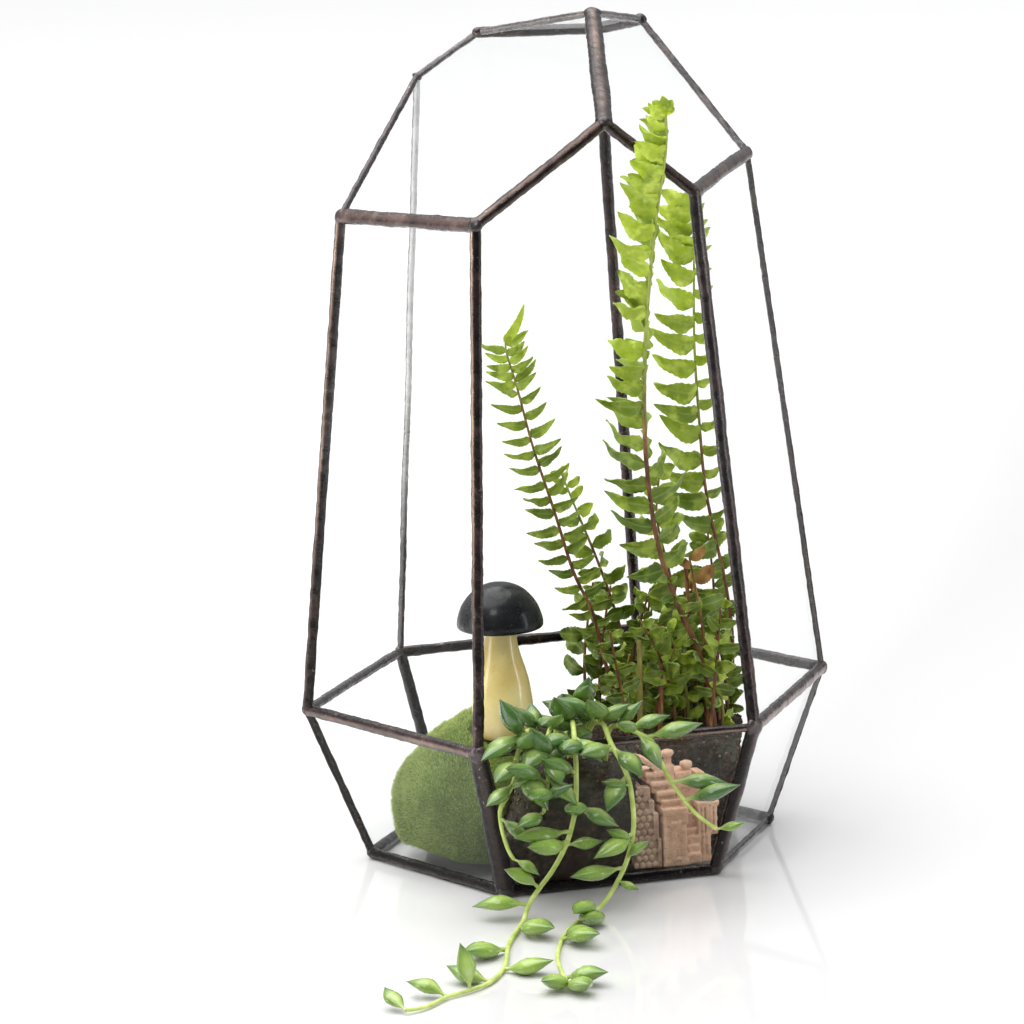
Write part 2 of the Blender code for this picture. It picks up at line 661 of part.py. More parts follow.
def fern_frond(name, route, facing, bare, pitch, lengths, look, lift=12.0, droop=0.10,
               sides=(1.0, 1.0)):
    """One frond: a flat rachis with pairs of pointed leaflets, grown as one piece.

    facing is the way the frond spreads, in degrees about Z; bare is the stretch of rachis
    without leaflets; lengths are leaflet lengths from there up to the tip.
    """
    path = smooth_path(route, 1.0)
    gone = [0.0]
    for a, b in zip(path, path[1:]):
        gone.append(gone[-1] + (b - a).length)
    total = gone[-1]

    def along(distance):
        i = 0
        while i < len(path) - 2 and gone[i + 1] < distance:
            i += 1
        t = (distance - gone[i]) / (gone[i + 1] - gone[i])
        here = path[i].lerp(path[i + 1], min(max(t, 0.0), 1.0))
        way = (path[min(i + 2, len(path) - 1)] - path[max(i - 1, 0)]).normalized()
        spread = Vector((cos(radians(facing)), sin(radians(facing)), 0))
        spread = (spread - way * spread.dot(way)).normalized()
        return here, way, spread, spread.cross(way)

    base = pitch * 0.36
    buried = (Vector(route[1]) - Vector(route[0])).length
    stops = [0.0, buried, (buried + bare) / 2]
    pairs = []
    place = bare
    while place < total - pitch * 0.9:
        pairs.append(len(stops))
        stops += [place - base / 2, place + base / 2]
        place += pitch
    stops.append(total)
    centres = []
    normals = []
    halves = []
    faces = []
    for distance in stops:
        here, way, spread, normal = along(distance)
        thin = 1.0 - 0.35 * distance / total
        for side in (-1, 1):
            centres.append(here + spread * (side * RACHIS_WIDTH / 2 * thin))
            normals.append(normal)
            halves.append(RACHIS_THICKNESS / 2 * thin)
    for i in range(len(stops) - 1):
        faces.append((2 * i, 2 * i + 1, 2 * i + 3, 2 * i + 2))
    leafy = max(total - bare, 1.0)
    for pair in pairs:
        middle = (stops[pair] + stops[pair + 1]) / 2
        here, way, spread, normal = along(middle)
        for side in (-1, 1):
            length = length_at((middle - bare) / leafy, lengths) * sides[0 if side < 0 else 1]
            if length < 2.0:
                continue
            out = spread * (side * cos(radians(lift))) + way * sin(radians(lift))
            width = min(pitch * 0.44, length * 0.26)
            root = len(centres)
            rise = normal * (-droop * length)
            for share, half in ((0.30, width), (0.68, width * 0.72)):
                spot = here + out * (length * share) + rise * share ** 2
                centres += [spot - way * half, spot + way * half]
                normals += [normal, normal]
                halves += [PINNA_THICKNESS / 2] * 2
            centres.append(here + out * length + rise)
            normals.append(normal)
            halves.append(PINNA_THICKNESS / 2)
            low = 2 * pair + (1 if side > 0 else 0)
            high = low + 2
            chain = [(low, root, root + 1, high), (root, root + 2, root + 3, root + 1),
                     (root + 2, root + 4, root + 3)]
            if side < 0:
                chain = [tuple(reversed(f)) for f in chain]
            faces += chain
    return thick_sheet(name, centres, normals, halves, faces, look)


FRONDS = {
    # name: route from its foot in the soil to its tip, facing, bare stretch, pitch, lengths
    "fern_tall_front": ([(41.3, -21, 30), (41.5, -21.5, 41), (37.4, -22, 62), (31.4, -21, 77),
                         (26.7, -19, 93), (23.5, -20, 109), (20, -26, 133), (17, -38, 163),
                         (16, -47, 184), (15.5, -57.5, 207), (17, -64.5, 229), (15, -69, 244)],
                        -16, 62, 7.4, (8, 12, 17, 14, 13, 12.5, 11, 5)),
    "fern_tall_right": ([(57, 8, 28), (57.5, 8, 40), (58.5, 9, 60), (56.5, 9, 78),
                         (53, 8, 94), (50, 7, 110), (48, 5, 130), (46, 2, 157),
                         (45, -3, 188), (43, -8, 214)],
                        -10, 46, 7.4, (8, 12, 14, 13.5, 13, 12, 10, 5)),
    "fern_left": ([(18.5, 2, 29), (18, 2, 40), (13, 2, 59), (10, 2, 73), (4, 2, 87),
                   (-2, 2, 108), (-8, 2, 128), (-13, 2, 149), (-16.5, 2, 160),
                   (-14, 2, 168), (-9, 2, 172)],
                  -22, 40, 5.5, (6.5, 9, 10, 10, 9.5, 8, 5)),
    "fern_left_back": ([(24, 14, 26), (24, 14, 39), (23, 14, 61), (20, 14, 74), (15, 14, 89),
                        (10, 14, 102), (4, 14, 118)],
                       -12, 34, 6.2, (6, 8, 8, 6, 3)),
    "fern_middle": ([(47, -2, 28), (46.5, -2, 38), (45, -2, 50), (42, -2, 60), (39, -2, 69),
                     (36, -3, 77), (33.5, -3, 88), (31, -3, 99), (30.5, -3, 107), (32, -3, 119)],
                    -14, 26, 6.6, (7, 9.5, 10, 9, 7, 4)),
    "fern_browned": ([(41.5, -15, 30), (41.5, -15, 41), (41, -15, 65), (39.5, -15, 78),
                      (37, -15, 92)],
                     -22, 30, 7.2, (7, 9, 8, 5)),
    "fern_short_left": ([(12, -25, 30), (12, -25, 40), (10, -26, 54), (8, -27, 64),
                         (6, -29, 74)],
                        -6, 16, 6.4, (6, 7, 6, 4)),
    "fern_young": ([(31, 24, 22), (31.5, 24, 35), (33, 23, 53), (34, 21, 64), (34.5, 19, 75)],
                   -30, 18, 6.8, (7, 9, 8, 5)),
    "fern_right_back": ([(55, 22, 22), (56, 22, 35), (57, 22, 58), (56.5, 21, 76),
                         (54.5, 20, 94)],
                        -2, 22, 6.8, (7, 9, 9, 5)),
    "fern_right_edge": ([(38.5, -26, 28), (39, -26, 39), (40.5, -26, 51), (42, -26, 64),
                         (43, -27, 77)],
                        -8, 22, 6.8, (6, 8, 7, 4)),
    "fern_back": ([(42, 35, 19), (42.5, 35, 32), (44, 34, 50), (46, 33, 64), (48, 31, 76)],
                  -12, 18, 7.0, (8, 10, 9, 5)),
    "fern_back_left": ([(14, 26, 21), (14, 26, 34), (14, 26, 52), (15, 25, 64),
                        (17, 24, 78)],
                       -26, 20, 7.0, (7, 9, 8, 4)),
}
FAR_SIDE = {"fern_tall_front": 0.42, "fern_tall_right": 0.42}   # shorter leaflets by the glass


def build_ferns():
    """All the fronds."""
    green = material("fern_green", (0.16, 0.34, 0.035), 0.5)
    for name, (route, facing, bare, pitch, lengths) in FRONDS.items():
        fern_frond(name, route, facing, bare, pitch, lengths, green,
                   sides=(1.0, FAR_SIDE.get(name, 1.0)))


# Trailing succulent

def stem_tube(name, route, look, step=8.5, radius=STEM_RADIUS):
    """A round stem along a smooth curve, thinner at its tip."""
    path = smooth_path(route, step)
    ways = directions(path)
    side = ways[0].orthogonal().normalized()
    rings = []
    for i, (here, way) in enumerate(zip(path, ways)):
        side = (side - way * side.dot(way)).normalized()
        size = radius * (1.0 - 0.25 * i / (len(path) - 1))
        rings.append(ring_of(here, side, way.cross(side), (size, size), STEM_SIDES))
    return solid(name, *loft(rings), look, smooth=True)


def plump_leaf(base, tip, look, width=7.0):
    """An almond-shaped leaf on a short neck, thick in the middle, with a sharp end."""
    start = Vector(base)
    end = Vector(tip)
    way = (end - start).normalized()
    length = (end - start).length
    side = way.cross(Vector((0, 0, 1)))
    if side.length < 0.2:
        side = Vector((1, 0, 0)) - way * way.x
    side.normalize()
    up = side.cross(way)
    half = min(width, length * 0.5) / 2
    rings = []
    for share, size in ((0.0, 0.55), (0.18, 0.6), (0.42, half), (0.70, half * 0.8),
                        (0.97, 0.3)):
        thick = max(size * 0.66, min(size, 0.45))
        rings.append(ring_of(start + way * (length * share), side, up, (size, thick), LEAF_SIDES))
    return solid("leaf", *loft(rings), look, smooth=True)


STRANDS = {
    # name: route of the stem from its root, then each leaf as (where on the stem, its tip)
    "trail_long": ([(-15.5, -52, 33), (-15.5, -53.5, 44), (-17, -61, 54.5), (-19.5, -71, 56),
                    (-21, -77, 52), (-21.5, -79.5, 45), (-22, -80, 35), (-23, -80, 29),
                    (-25.5, -80, 21.5), (-30, -80, 14), (-34.5, -80.5, 9), (-38.5, -82, 4.5),
                    (-42, -88, 1.6), (-47, -97, FLOOR_STEM), (-54, -112, FLOOR_STEM),
                    (-61, -132, FLOOR_STEM), (-69, -145, FLOOR_STEM),
                    (-77, -151, FLOOR_STEM), (-85, -155, FLOOR_STEM),
                    (-93, -162, FLOOR_STEM), (-100, -165, 1.5)],
                   [((-21, -77, 52), (-28, -89, 53.5)), ((-21.6, -79.6, 43.5), (-34.5, -88, 51)),
                    ((-22, -80, 33), (-10.5, -86, 27)), ((-22.2, -80, 33.5), (-27, -93, 35)),
                    ((-25.5, -80, 21.5), (-14.1, -82, 21.9)),
                    ((-25, -80, 22.5), (-41.5, -93, 25.5)), ((-34.5, -80.5, 9), (-46.5, -84, 17)),
                    ((-38.5, -82, 4.5), (-55, -77, 4.4)),
                    ((-45, -93.5, 1.2), (-39, -111, 5.0)), ((-55, -115, 1.1), (-71, -124, 4.8)),
                    ((-62, -134, 1.1), (-49, -143, 4.8)), ((-77, -151, 1.1), (-79, -149, 15)),
                    ((-85, -155, 1.1), (-95, -147, 4.6)), ((-69, -145, 1.1), (-80, -137, 5)),
                    ((-100, -165, 1.5), (-105, -153, 5.5))]),
    "trail_middle": ([(-10.5, -52, 33), (-10.5, -53.5, 44), (-10.5, -61, 53), (-10, -71, 55.5),
                      (-9.5, -76.5, 51), (-7, -79, 45), (-5, -80, 39), (-4, -80, 31),
                      (-4, -80, 25), (-5, -80, 19), (-7.5, -80.5, 12.5), (-12, -82, 6),
                      (-17, -85, 2.2), (-24, -91, FLOOR_STEM), (-31, -100, FLOOR_STEM),
                      (-37, -111, FLOOR_STEM), (-43.5, -128, FLOOR_STEM),
                      (-47, -144, FLOOR_STEM), (-49, -157, 1.5)],
                     [((-10.2, -69, 55.4), (-16.5, -77, 65)),
                      ((-10.4, -64, 54.4), (-23.8, -66, 63.9)),
                      ((-9.4, -76.6, 50.5), (-18.5, -82, 49.5)),
                      ((-5.5, -79.7, 41), (-14.1, -86, 32)),
                      ((-4.2, -80, 23), (-19, -86.5, 18)), ((-7.5, -80.5, 12.5), (-27, -88, 13.5)),
                      ((-6.5, -80.3, 15), (0, -84, 21)), ((-10, -81.2, 9), (-4.6, -86, 6.5)),
                      ((-20, -87.5, 1.6), (-27, -106, 5)), ((-33, -103.5, 1.1), (-31, -118, 4.8)),
                      ((-48, -150, 1.2), (-38, -161, 4.8)), ((-49, -157, 1.5), (-47, -171.3, 4.8)),
                      ((-48.6, -154, 1.3), (-59, -163, 5))]),
    "trail_right": ([(-4, -52, 33), (-4, -53.5, 43), (-5, -61, 51), (-5.5, -71, 54.5),
                     (-4, -76.5, 54.5), (-1, -79, 53.5), (2.5, -80, 51), (4.5, -80.5, 46),
                     (7, -81, 40), (11, -82, 33), (16, -84, 27), (20.5, -86, 24),
                     (25, -88, 23), (28.5, -89.5, 25.5)],
                    [((-4, -76.5, 54.5), (9, -79, 58.2)), ((1, -79.6, 52.3), (17.7, -84, 56)),
                     ((-1.5, -78.7, 53.6), (4, -84.5, 42.7)), ((8, -81.3, 38), (25.2, -84, 36.5)),
                     ((12, -82.4, 31.6), (27.4, -89.5, 34)),
                     ((28.5, -89.5, 25.5), (33.5, -90, 30))]),
    "trail_left": ([(-21.5, -58, 33), (-22.5, -59, 43), (-27, -62.5, 51.5), (-34, -70.5, 55.5),
                    (-39, -76.5, 50), (-41, -79, 43), (-44, -80, 38), (-46, -80, 34),
                    (-45.5, -80, 28), (-44, -80.5, 22), (-42.5, -81.5, 19)],
                   [((-35, -72, 55.3), (-52.3, -83, 51)), ((-35, -72, 55.3), (-44, -76, 67.5)),
                    ((-31, -67.2, 54), (-29.7, -61, 62)), ((-46, -80, 32), (-38, -86, 25)),
                    ((-42.5, -81.5, 19), (-36, -86, 14.5))]),
    "shoot_spill": ([(-19.5, -49, 34), (-19.5, -50, 44), (-21.5, -60, 54), (-26.5, -70.5, 56),
                     (-30, -77, 52), (-30.5, -80.5, 46), (-31.5, -82, 40), (-33, -82.5, 33)],
                    [((-30.4, -79.5, 48), (-37, -84, 60)), ((-31.3, -81.7, 41.5), (-47.1, -91, 50)),
                     ((-31.8, -82.2, 38.5), (-38.3, -95, 41)), ((-33, -82.5, 33), (-43.5, -89, 31)),
                     ((-27.5, -72.5, 55.3), (-25.5, -80, 62))]),
    "shoot_top": ([(-14, -44, 32), (-14, -45, 43), (-14, -50, 52), (-13.5, -55, 58.5)],
                  [((-13.5, -55, 58.5), (-12.5, -65, 66.5)), ((-14, -51.2, 54), (-24, -53, 60)),
                   ((-14.5, -50, 52), (-6, -44, 59)), ((-14, -47.5, 47.5), (-20, -37, 52))]),
}


def build_trails():
    """The trailing plant, one piece for each leafy stem."""
    green = material("succulent_green", (0.14, 0.36, 0.09), 0.35)
    for name, (route, leaves) in STRANDS.items():
        stem = stem_tube(name, route, green)
        combine(stem, [plump_leaf(base, tip, green) for base, tip in leaves], "UNION")


def stem_feet():
    """First stretch of every stem that stands in the soil."""
    feet = [(route[0], route[1]) for route, *_ in FRONDS.values()]
    feet += [(route[0], route[1]) for route, _ in STRANDS.values()]
    return feet


def main():
    """Build the terrarium in an empty scene."""
    for old in list(bpy.data.objects):
        bpy.data.objects.remove(old)
    lower, upper = wall_planes()
    corners = case_corners(lower, upper)
    build_seams(corners)
    build_panes(corners)
    build_soil(lower, stem_feet())
    build_moss(lower)
    build_mushroom()
    build_ruin()
    build_ferns()
    build_trails()


main()
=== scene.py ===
"""Looks of the planted glass terrarium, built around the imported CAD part.

Lengths in the tables are in millimetres, in the part's own frame: the origin is under the middle of
the base pane, +Z is up and the open face looks along -Y.
"""

from math import copysign, cos, pi, radians, sin
from random import Random

import bpy
import numpy as np
from mathutils import Matrix, Vector
from mathutils.noise import noise


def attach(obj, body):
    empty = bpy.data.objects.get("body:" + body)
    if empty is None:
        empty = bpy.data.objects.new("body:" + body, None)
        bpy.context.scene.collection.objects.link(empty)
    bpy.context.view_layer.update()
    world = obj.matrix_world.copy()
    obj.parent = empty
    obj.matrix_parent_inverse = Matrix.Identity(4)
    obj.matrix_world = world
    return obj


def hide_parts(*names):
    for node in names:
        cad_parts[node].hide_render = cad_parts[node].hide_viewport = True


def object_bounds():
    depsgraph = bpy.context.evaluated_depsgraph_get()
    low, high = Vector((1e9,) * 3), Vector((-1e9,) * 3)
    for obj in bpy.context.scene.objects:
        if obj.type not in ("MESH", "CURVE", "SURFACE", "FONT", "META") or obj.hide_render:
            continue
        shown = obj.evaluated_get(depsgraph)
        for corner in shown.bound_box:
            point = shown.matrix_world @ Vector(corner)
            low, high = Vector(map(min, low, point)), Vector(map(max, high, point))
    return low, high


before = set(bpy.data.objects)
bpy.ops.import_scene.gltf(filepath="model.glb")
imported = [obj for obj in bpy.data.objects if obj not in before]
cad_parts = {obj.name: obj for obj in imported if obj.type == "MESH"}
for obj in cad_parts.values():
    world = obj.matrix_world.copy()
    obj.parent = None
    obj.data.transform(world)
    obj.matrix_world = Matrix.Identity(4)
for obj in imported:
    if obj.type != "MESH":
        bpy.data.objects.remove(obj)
CAD_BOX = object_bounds()
MM = 0.001


# Materials

class Nodes:
    """Short calls for the procedural nodes of one material or world."""

    def __init__(self, tree):
        self.tree = tree

    def put(self, socket, value):
        """Link a socket, or set a plain value."""
        if isinstance(value, bpy.types.NodeSocket):
            self.tree.links.new(value, socket)
        elif socket.type == "RGBA":
            socket.default_value = (*value, 1.0)
        else:
            socket.default_value = value

    def fill(self, node, **values):
        """Link or set a node's inputs by name."""
        for key, value in values.items():
            self.put(node.inputs[key.replace("_", " ")], value)

    def new(self, kind, *numbered, **named):
        """A node with its inputs linked or set, by number or by name."""
        made = self.tree.nodes.new("ShaderNode" + kind)
        for socket, value in zip(made.inputs, numbered):
            self.put(socket, value)
        self.fill(made, **named)
        return made

    def ramp(self, factor, *stops):
        """Colours at places along a factor; a stop is (place, colour) or (place, grey)."""
        made = self.new("ValToRGB", factor)
        row = made.color_ramp.elements
        while len(row) < len(stops):
            row.new(0.5)
        for item, (where, colour) in zip(row, stops):
            item.position = where
            item.color = (*colour, 1.0) if isinstance(colour, tuple) else (colour,) * 3 + (1.0,)
        return made.outputs["Color"]

    def mix(self, factor, one, two):
        made = self.new("Mix", factor)
        made.data_type = "RGBA"
        self.put(made.inputs[6], one)
        self.put(made.inputs[7], two)
        return made.outputs[2]

    def over(self, base, *layers):
        """A colour under layers, each of them a factor and a colour."""
        for factor, colour in layers:
            base = self.mix(factor, base, colour)
        return base

    def math(self, kind, *values):
        made = self.new("Math", *values)
        made.operation = kind
        return made.outputs[0]

    def times(self, product, *values):
        for value in values:
            product = self.math("MULTIPLY", product, value)
        return product


class Look(Nodes):
    """A Principled material, which can read the four tones that every point of a piece has."""

    def __init__(self, name, roughness=0.5, **values):
        self.material = bpy.data.materials.new(name)
        self.material.use_nodes = True
        super().__init__(self.material.node_tree)
        self.shader = self.tree.nodes["Principled BSDF"]
        self.fill(self.shader, Roughness=roughness, **values)
        self.place = self.new("TexCoord").outputs["Object"]
        tone = self.new("Attribute")
        tone.attribute_name = "tone"
        self.red, self.green, self.blue = self.new("SeparateColor", tone.outputs["Color"]).outputs
        self.alpha = tone.outputs["Alpha"]

    def along(self, axis):
        """One coordinate in the part's frame, in metres."""
        return self.new("SeparateXYZ", self.place).outputs[axis]

    def height(self):
        """Height over the floor in tenths of a metre, so that a ramp can span the case."""
        return self.times(self.along("Z"), 10.0)

    def noise(self, scale, detail=3.0, roughness=0.55, stretch=None):
        place = self.place
        if stretch:
            place = self.new("Mapping", place, Scale=stretch).outputs["Vector"]
        made = self.new("TexNoise", place, Scale=scale, Detail=detail, Roughness=roughness)
        return made.outputs["Fac"]

    def specks(self, scale, low, high, strength=1.0):
        """Small spots, where a fine noise is above low."""
        return self.ramp(self.noise(scale, 2), (low, 0.0), (high, strength))

    def done(self, colour, grain, strength, depth=0.0005, rough=None):
        """The material with its colour, a bump of grain and, where it varies, its roughness."""
        bump = self.new("Bump", Strength=strength, Distance=depth, Height=grain)
        self.fill(self.shader, Base_Color=colour, Normal=bump.outputs["Normal"])
        if rough is not None:
            self.fill(self.shader, Roughness=rough)
        return self.material


def solder_look():
    """tone: how brown-grey, how silvery (in part a painted reflection), place across the painted
    highlight stripe, how strong that is.
    """
    look = Look("patina_solder", 0.3, Coat_Weight=0.20, Coat_Roughness=0.12)
    look.fill(look.shader, Metallic=look.math("MULTIPLY_ADD", look.green, -0.8, 0.8))
    flow = look.noise(110, 5, 0.65)
    dark = look.ramp(flow, (0.36, (0.016, 0.014, 0.015)), (0.54, (0.034, 0.025, 0.025)),
                     (0.66, (0.072, 0.046, 0.042)), (0.80, (0.17, 0.115, 0.098)))
    pale = look.ramp(flow, (0.30, (0.060, 0.040, 0.040)), (0.50, (0.135, 0.092, 0.088)),
                     (0.70, (0.26, 0.19, 0.175)))
    # pale grey and not metallic: silvery solder, and on some seams a painted reflection
    silver_and_reflection = look.ramp(flow, (0.3, (0.50, 0.50, 0.51)), (0.7, (0.78, 0.78, 0.79)))
    foot = look.ramp(look.height(), (0.44, 0.80), (0.50, 0.0))
    # painted highlight: a pale stripe along part of a seam's face, broken in places, as strong as the
    # alpha tone
    band = look.ramp(look.blue, (0.28, 0.0), (0.42, 1.0), (0.58, 1.0), (0.74, 0.0))
    highlight_breaks = look.ramp(look.noise(34, 4, 0.6), (0.36, 0.15), (0.60, 0.9))
    patches = look.specks(45, 0.50, 0.62)
    base = look.over(look.mix(look.red, dark, pale), (foot, (0.008, 0.0065, 0.007)),
                     (look.green, silver_and_reflection), (look.times(band, highlight_breaks, look.alpha), (0.42, 0.30, 0.235)),
                     (look.times(look.specks(900, 0.66, 0.74), patches, 0.6), (0.62, 0.58, 0.55)))
    return look.done(base, look.noise(480, 5, 0.65), 0.5,
                     rough=look.ramp(look.noise(220), (0.3, 0.17), (0.7, 0.36)))


def glass_look():
    """Thin clear glass: most light goes straight on, and the face reflects by its angle."""
    look = Look("clear_glass")
    look.tree.nodes.remove(look.shader)
    through = look.new("BsdfTransparent", Color=(0.996, 0.999, 0.997))
    gloss = look.new("BsdfGlossy", Color=(1.0, 1.0, 1.0), Roughness=0.0)
    facing = look.new("LayerWeight", Blend=0.5).outputs["Facing"]
    share = look.math("MULTIPLY_ADD", look.math("POWER", facing, 5.0), 0.28, 0.012)
    both = look.new("MixShader", share, through.outputs[0], gloss.outputs[0])
    look.fill(look.tree.nodes["Material Output"], Surface=both.outputs[0])
    return look.material


def soil_look():
    """tone: 1 on a loose grain, and in the alpha how pale that grain is."""
    look = Look("dark_soil", 0.95, Specular_IOR_Level=0.25)
    fine = look.noise(520, 5, 0.65)
    base = look.ramp(fine, (0.30, (0.008, 0.005, 0.0035)), (0.50, (0.028, 0.016, 0.010)),
                     (0.66, (0.070, 0.038, 0.023)), (0.80, (0.15, 0.095, 0.060)))
    green = look.ramp(fine, (0.30, (0.012, 0.014, 0.008)), (0.60, (0.050, 0.052, 0.034)),
                      (0.80, (0.12, 0.12, 0.085)))
    damp = look.ramp(look.noise(38, 3, 0.6), (0.42, 0.0), (0.56, 0.75))
    grain = look.ramp(look.alpha, (0.0, (0.035, 0.022, 0.016)), (0.45, (0.075, 0.046, 0.030)),
                      (0.75, (0.16, 0.105, 0.070)), (1.0, (0.21, 0.15, 0.105)))
    base = look.over(base, (damp, green), (look.red, grain))
    return look.done(base, look.noise(1100, 4, 0.7), 0.7)


def moss_look():
    """tone: how near the tip of a blade, and in the alpha how pale that blade is."""
    look = Look("moss", 0.9, Specular_IOR_Level=0.15, Sheen_Weight=0.35, Sheen_Roughness=0.5,
                Sheen_Tint=(0.55, 0.85, 0.25))
    patch = look.noise(55, 4, 0.6)
    deep = look.ramp(patch, (0.35, (0.060, 0.095, 0.014)), (0.65, (0.105, 0.165, 0.024)))
    tips = look.ramp(patch, (0.30, (0.235, 0.325, 0.060)), (0.50, (0.350, 0.440, 0.100)),
                     (0.72, (0.475, 0.545, 0.165)))
    tips = look.mix(look.alpha, tips, (0.50, 0.54, 0.20))
    return look.done(look.mix(look.red, deep, tips), look.noise(900), 0.5)


def charcoal_look():
    look = Look("charcoal_glaze", 0.32, Specular_IOR_Level=0.25, Coat_Weight=0.2, Coat_Roughness=0.08)
    base = look.ramp(look.noise(90, 4), (0.35, (0.004, 0.0043, 0.005)), (0.65, (0.011, 0.012, 0.0135)))
    base = look.mix(look.specks(1500, 0.62, 0.72), base, (0.05, 0.05, 0.054))
    return look.done(base, look.noise(300), 0.15, 0.0003,
                     look.ramp(look.noise(260), (0.3, 0.24), (0.7, 0.40)))


def cream_look():
    """tone: how near the foot, where the glaze is darker."""
    look = Look("cream_glaze", 0.28, Coat_Weight=0.5, Coat_Roughness=0.10)
    base = look.ramp(look.noise(70, 4), (0.35, (0.70, 0.54, 0.18)), (0.65, (0.84, 0.72, 0.32)))
    base = look.over(base, (look.specks(1300, 0.68, 0.76), (0.42, 0.27, 0.09)),
                     (look.red, (0.36, 0.26, 0.10)))
    return look.done(base, look.noise(280), 0.12, 0.0003)


def stone_look(name, dark, middle, light, pit_and_shade, scale):
    """tone: how hollow, which is painted shade, and how exposed, which is a painted highlight."""
    look = Look(name, 0.88, Specular_IOR_Level=0.25)
    base = look.ramp(look.noise(scale, 5, 0.65), (0.30, dark), (0.52, middle), (0.75, light))
    # dark pits, then painted shade in hollows and a painted highlight on exposed edges
    base = look.over(base, (look.specks(1700, 0.60, 0.74), pit_and_shade), (look.red, pit_and_shade),
                     (look.green, light))
    return look.done(base, look.noise(900, 5, 0.7), 0.6)


def fern_look():
    """tone: distance from the midrib, place along the leaflet, place on the frond, chance."""
    look = Look("fern_leaf", 0.42, Specular_IOR_Level=0.45)
    blotch = look.noise(260, 4)
    low = look.ramp(blotch, (0.3, (0.045, 0.088, 0.008)), (0.7, (0.115, 0.185, 0.016)))
    high = look.ramp(blotch, (0.3, (0.285, 0.415, 0.010)), (0.7, (0.500, 0.640, 0.038)))
    base = look.mix(look.ramp(look.blue, (0.25, 0.0), (0.90, 1.0)), low, high)
    # painted shade: leaflets low in the case, and on the darker green parts of their fronds, are darkened
    deep = look.ramp(look.height(), (0.42, 0.72), (0.85, 0.0))
    deep = look.times(deep, look.ramp(look.blue, (0.3, 1.0), (0.6, 0.0)))
    # painted light shining through the leaflets, in patches, where a frond is yellow-green
    painted_glow = look.ramp(look.noise(170, 3, 0.6), (0.50, 0.0), (0.64, 0.70))
    rib = look.ramp(look.red, (0.0, 1.0), (0.16, 0.0))
    # painted highlight along the margin of each leaflet
    edge = look.ramp(look.red, (0.80, 0.0), (1.0, 0.32))
    base = look.over(base, (deep, (0.022, 0.034, 0.004)),
                     (look.times(look.alpha, 0.45), (0.07, 0.13, 0.01)),
                     (look.times(painted_glow, look.blue), (0.66, 0.80, 0.12)),
                     (look.times(rib, 0.36), (0.38, 0.52, 0.08)), (edge, (0.42, 0.60, 0.10)))
    veins = look.noise(420, 3, 0.6)
    return look.done(base, veins, 0.35, rough=look.ramp(veins, (0.3, 0.34), (0.7, 0.52)))


def dry_look():
    look = Look("fern_dry", 0.7)
    base = look.ramp(look.noise(240, 4), (0.3, (0.16, 0.07, 0.015)), (0.55, (0.34, 0.19, 0.04)),
                     (0.75, (0.50, 0.38, 0.10)))
    return look.done(base, look.noise(500, 4), 0.5)


def rachis_look():
    """tone: in the blue how green the stalk is."""
    look = Look("fern_stalk", 0.55)
    grain = look.noise(500, 3, 0.6, (1, 1, 0.25))
    brown = look.ramp(grain, (0.3, (0.075, 0.022, 0.010)), (0.55, (0.20, 0.078, 0.026)),
                      (0.75, (0.38, 0.20, 0.065)))
    green = look.ramp(grain, (0.3, (0.22, 0.30, 0.035)), (0.7, (0.42, 0.48, 0.10)))
    base = look.mix(look.ramp(look.blue, (0.45, 0.0), (0.85, 1.0)), brown, green)
    return look.done(base, look.noise(1200), 0.5, 0.0003)


def succulent_look():
    """tone: how near the pale window, place along the leaf, chance, dry tip."""
    look = Look("succulent_leaf", 0.30, Coat_Weight=0.60, Coat_Roughness=0.18,
                Subsurface_Weight=0.12, Subsurface_Scale=0.002)
    body = look.ramp(look.noise(120, 4, 0.6), (0.3, (0.022, 0.075, 0.020)),
                     (0.55, (0.046, 0.125, 0.028)), (0.75, (0.085, 0.190, 0.036)))
    window = look.times(look.red, look.ramp(look.green, (0.10, 0.2), (0.35, 0.75), (0.62, 0.55),
                                            (0.90, 0.0)))
    neck = look.ramp(look.green, (0.05, 0.85), (0.30, 0.0))
    end = look.ramp(look.green, (0.66, 0.0), (0.95, 0.60))
    base = look.over(body, (look.times(look.blue, 0.66), (0.37, 0.56, 0.075)),
                     (window, (0.56, 0.73, 0.22)), (neck, (0.50, 0.62, 0.18)),
                     (end, (0.045, 0.125, 0.028)),
                     (look.specks(1600, 0.66, 0.75, 0.5), (0.30, 0.45, 0.16)),
                     (look.alpha, (0.20, 0.12, 0.05)))
    return look.done(base, look.noise(700), 0.12, 0.0003,
                     look.ramp(look.noise(400), (0.3, 0.16), (0.7, 0.32)))


def vine_look():
    look = Look("succulent_stem", 0.45, Subsurface_Weight=0.1, Subsurface_Scale=0.001)
    base = look.ramp(look.noise(220), (0.3, (0.40, 0.52, 0.10)), (0.7, (0.68, 0.80, 0.26)))
    return look.done(base, look.noise(900), 0.25, 0.0003)


def floor_look():
    """White with a painted band of grey shade across it; the part near the camera is painted dark where
    mirrors see it.
    """
    look = Look("floor_white", 0.06, Specular_IOR_Level=0.6)
    painted_shade_place = look.math("MULTIPLY_ADD", look.along("X"), -1.5, look.math("ADD", look.along("Y"), 0.5))
    # painted shade: the floor greys towards the front right of the case
    pale = look.ramp(painted_shade_place, (0.20, (0.70, 0.692, 0.695)), (0.42, (0.66, 0.652, 0.655)),
                     (0.62, (0.80, 0.80, 0.80)), (0.86, (0.97, 0.97, 0.97)))
    # painted reflection: near the camera the floor turns dark for mirrors
    front = look.ramp(look.math("ADD", look.along("Y"), 1.0), (0.2, 1.0), (0.65, 0.0))
    mirrored = look.new("LightPath").outputs["Is Glossy Ray"]
    look.fill(look.shader, Base_Color=look.mix(look.times(front, mirrored), pale, (0.05, 0.05, 0.05)))
    return look.material


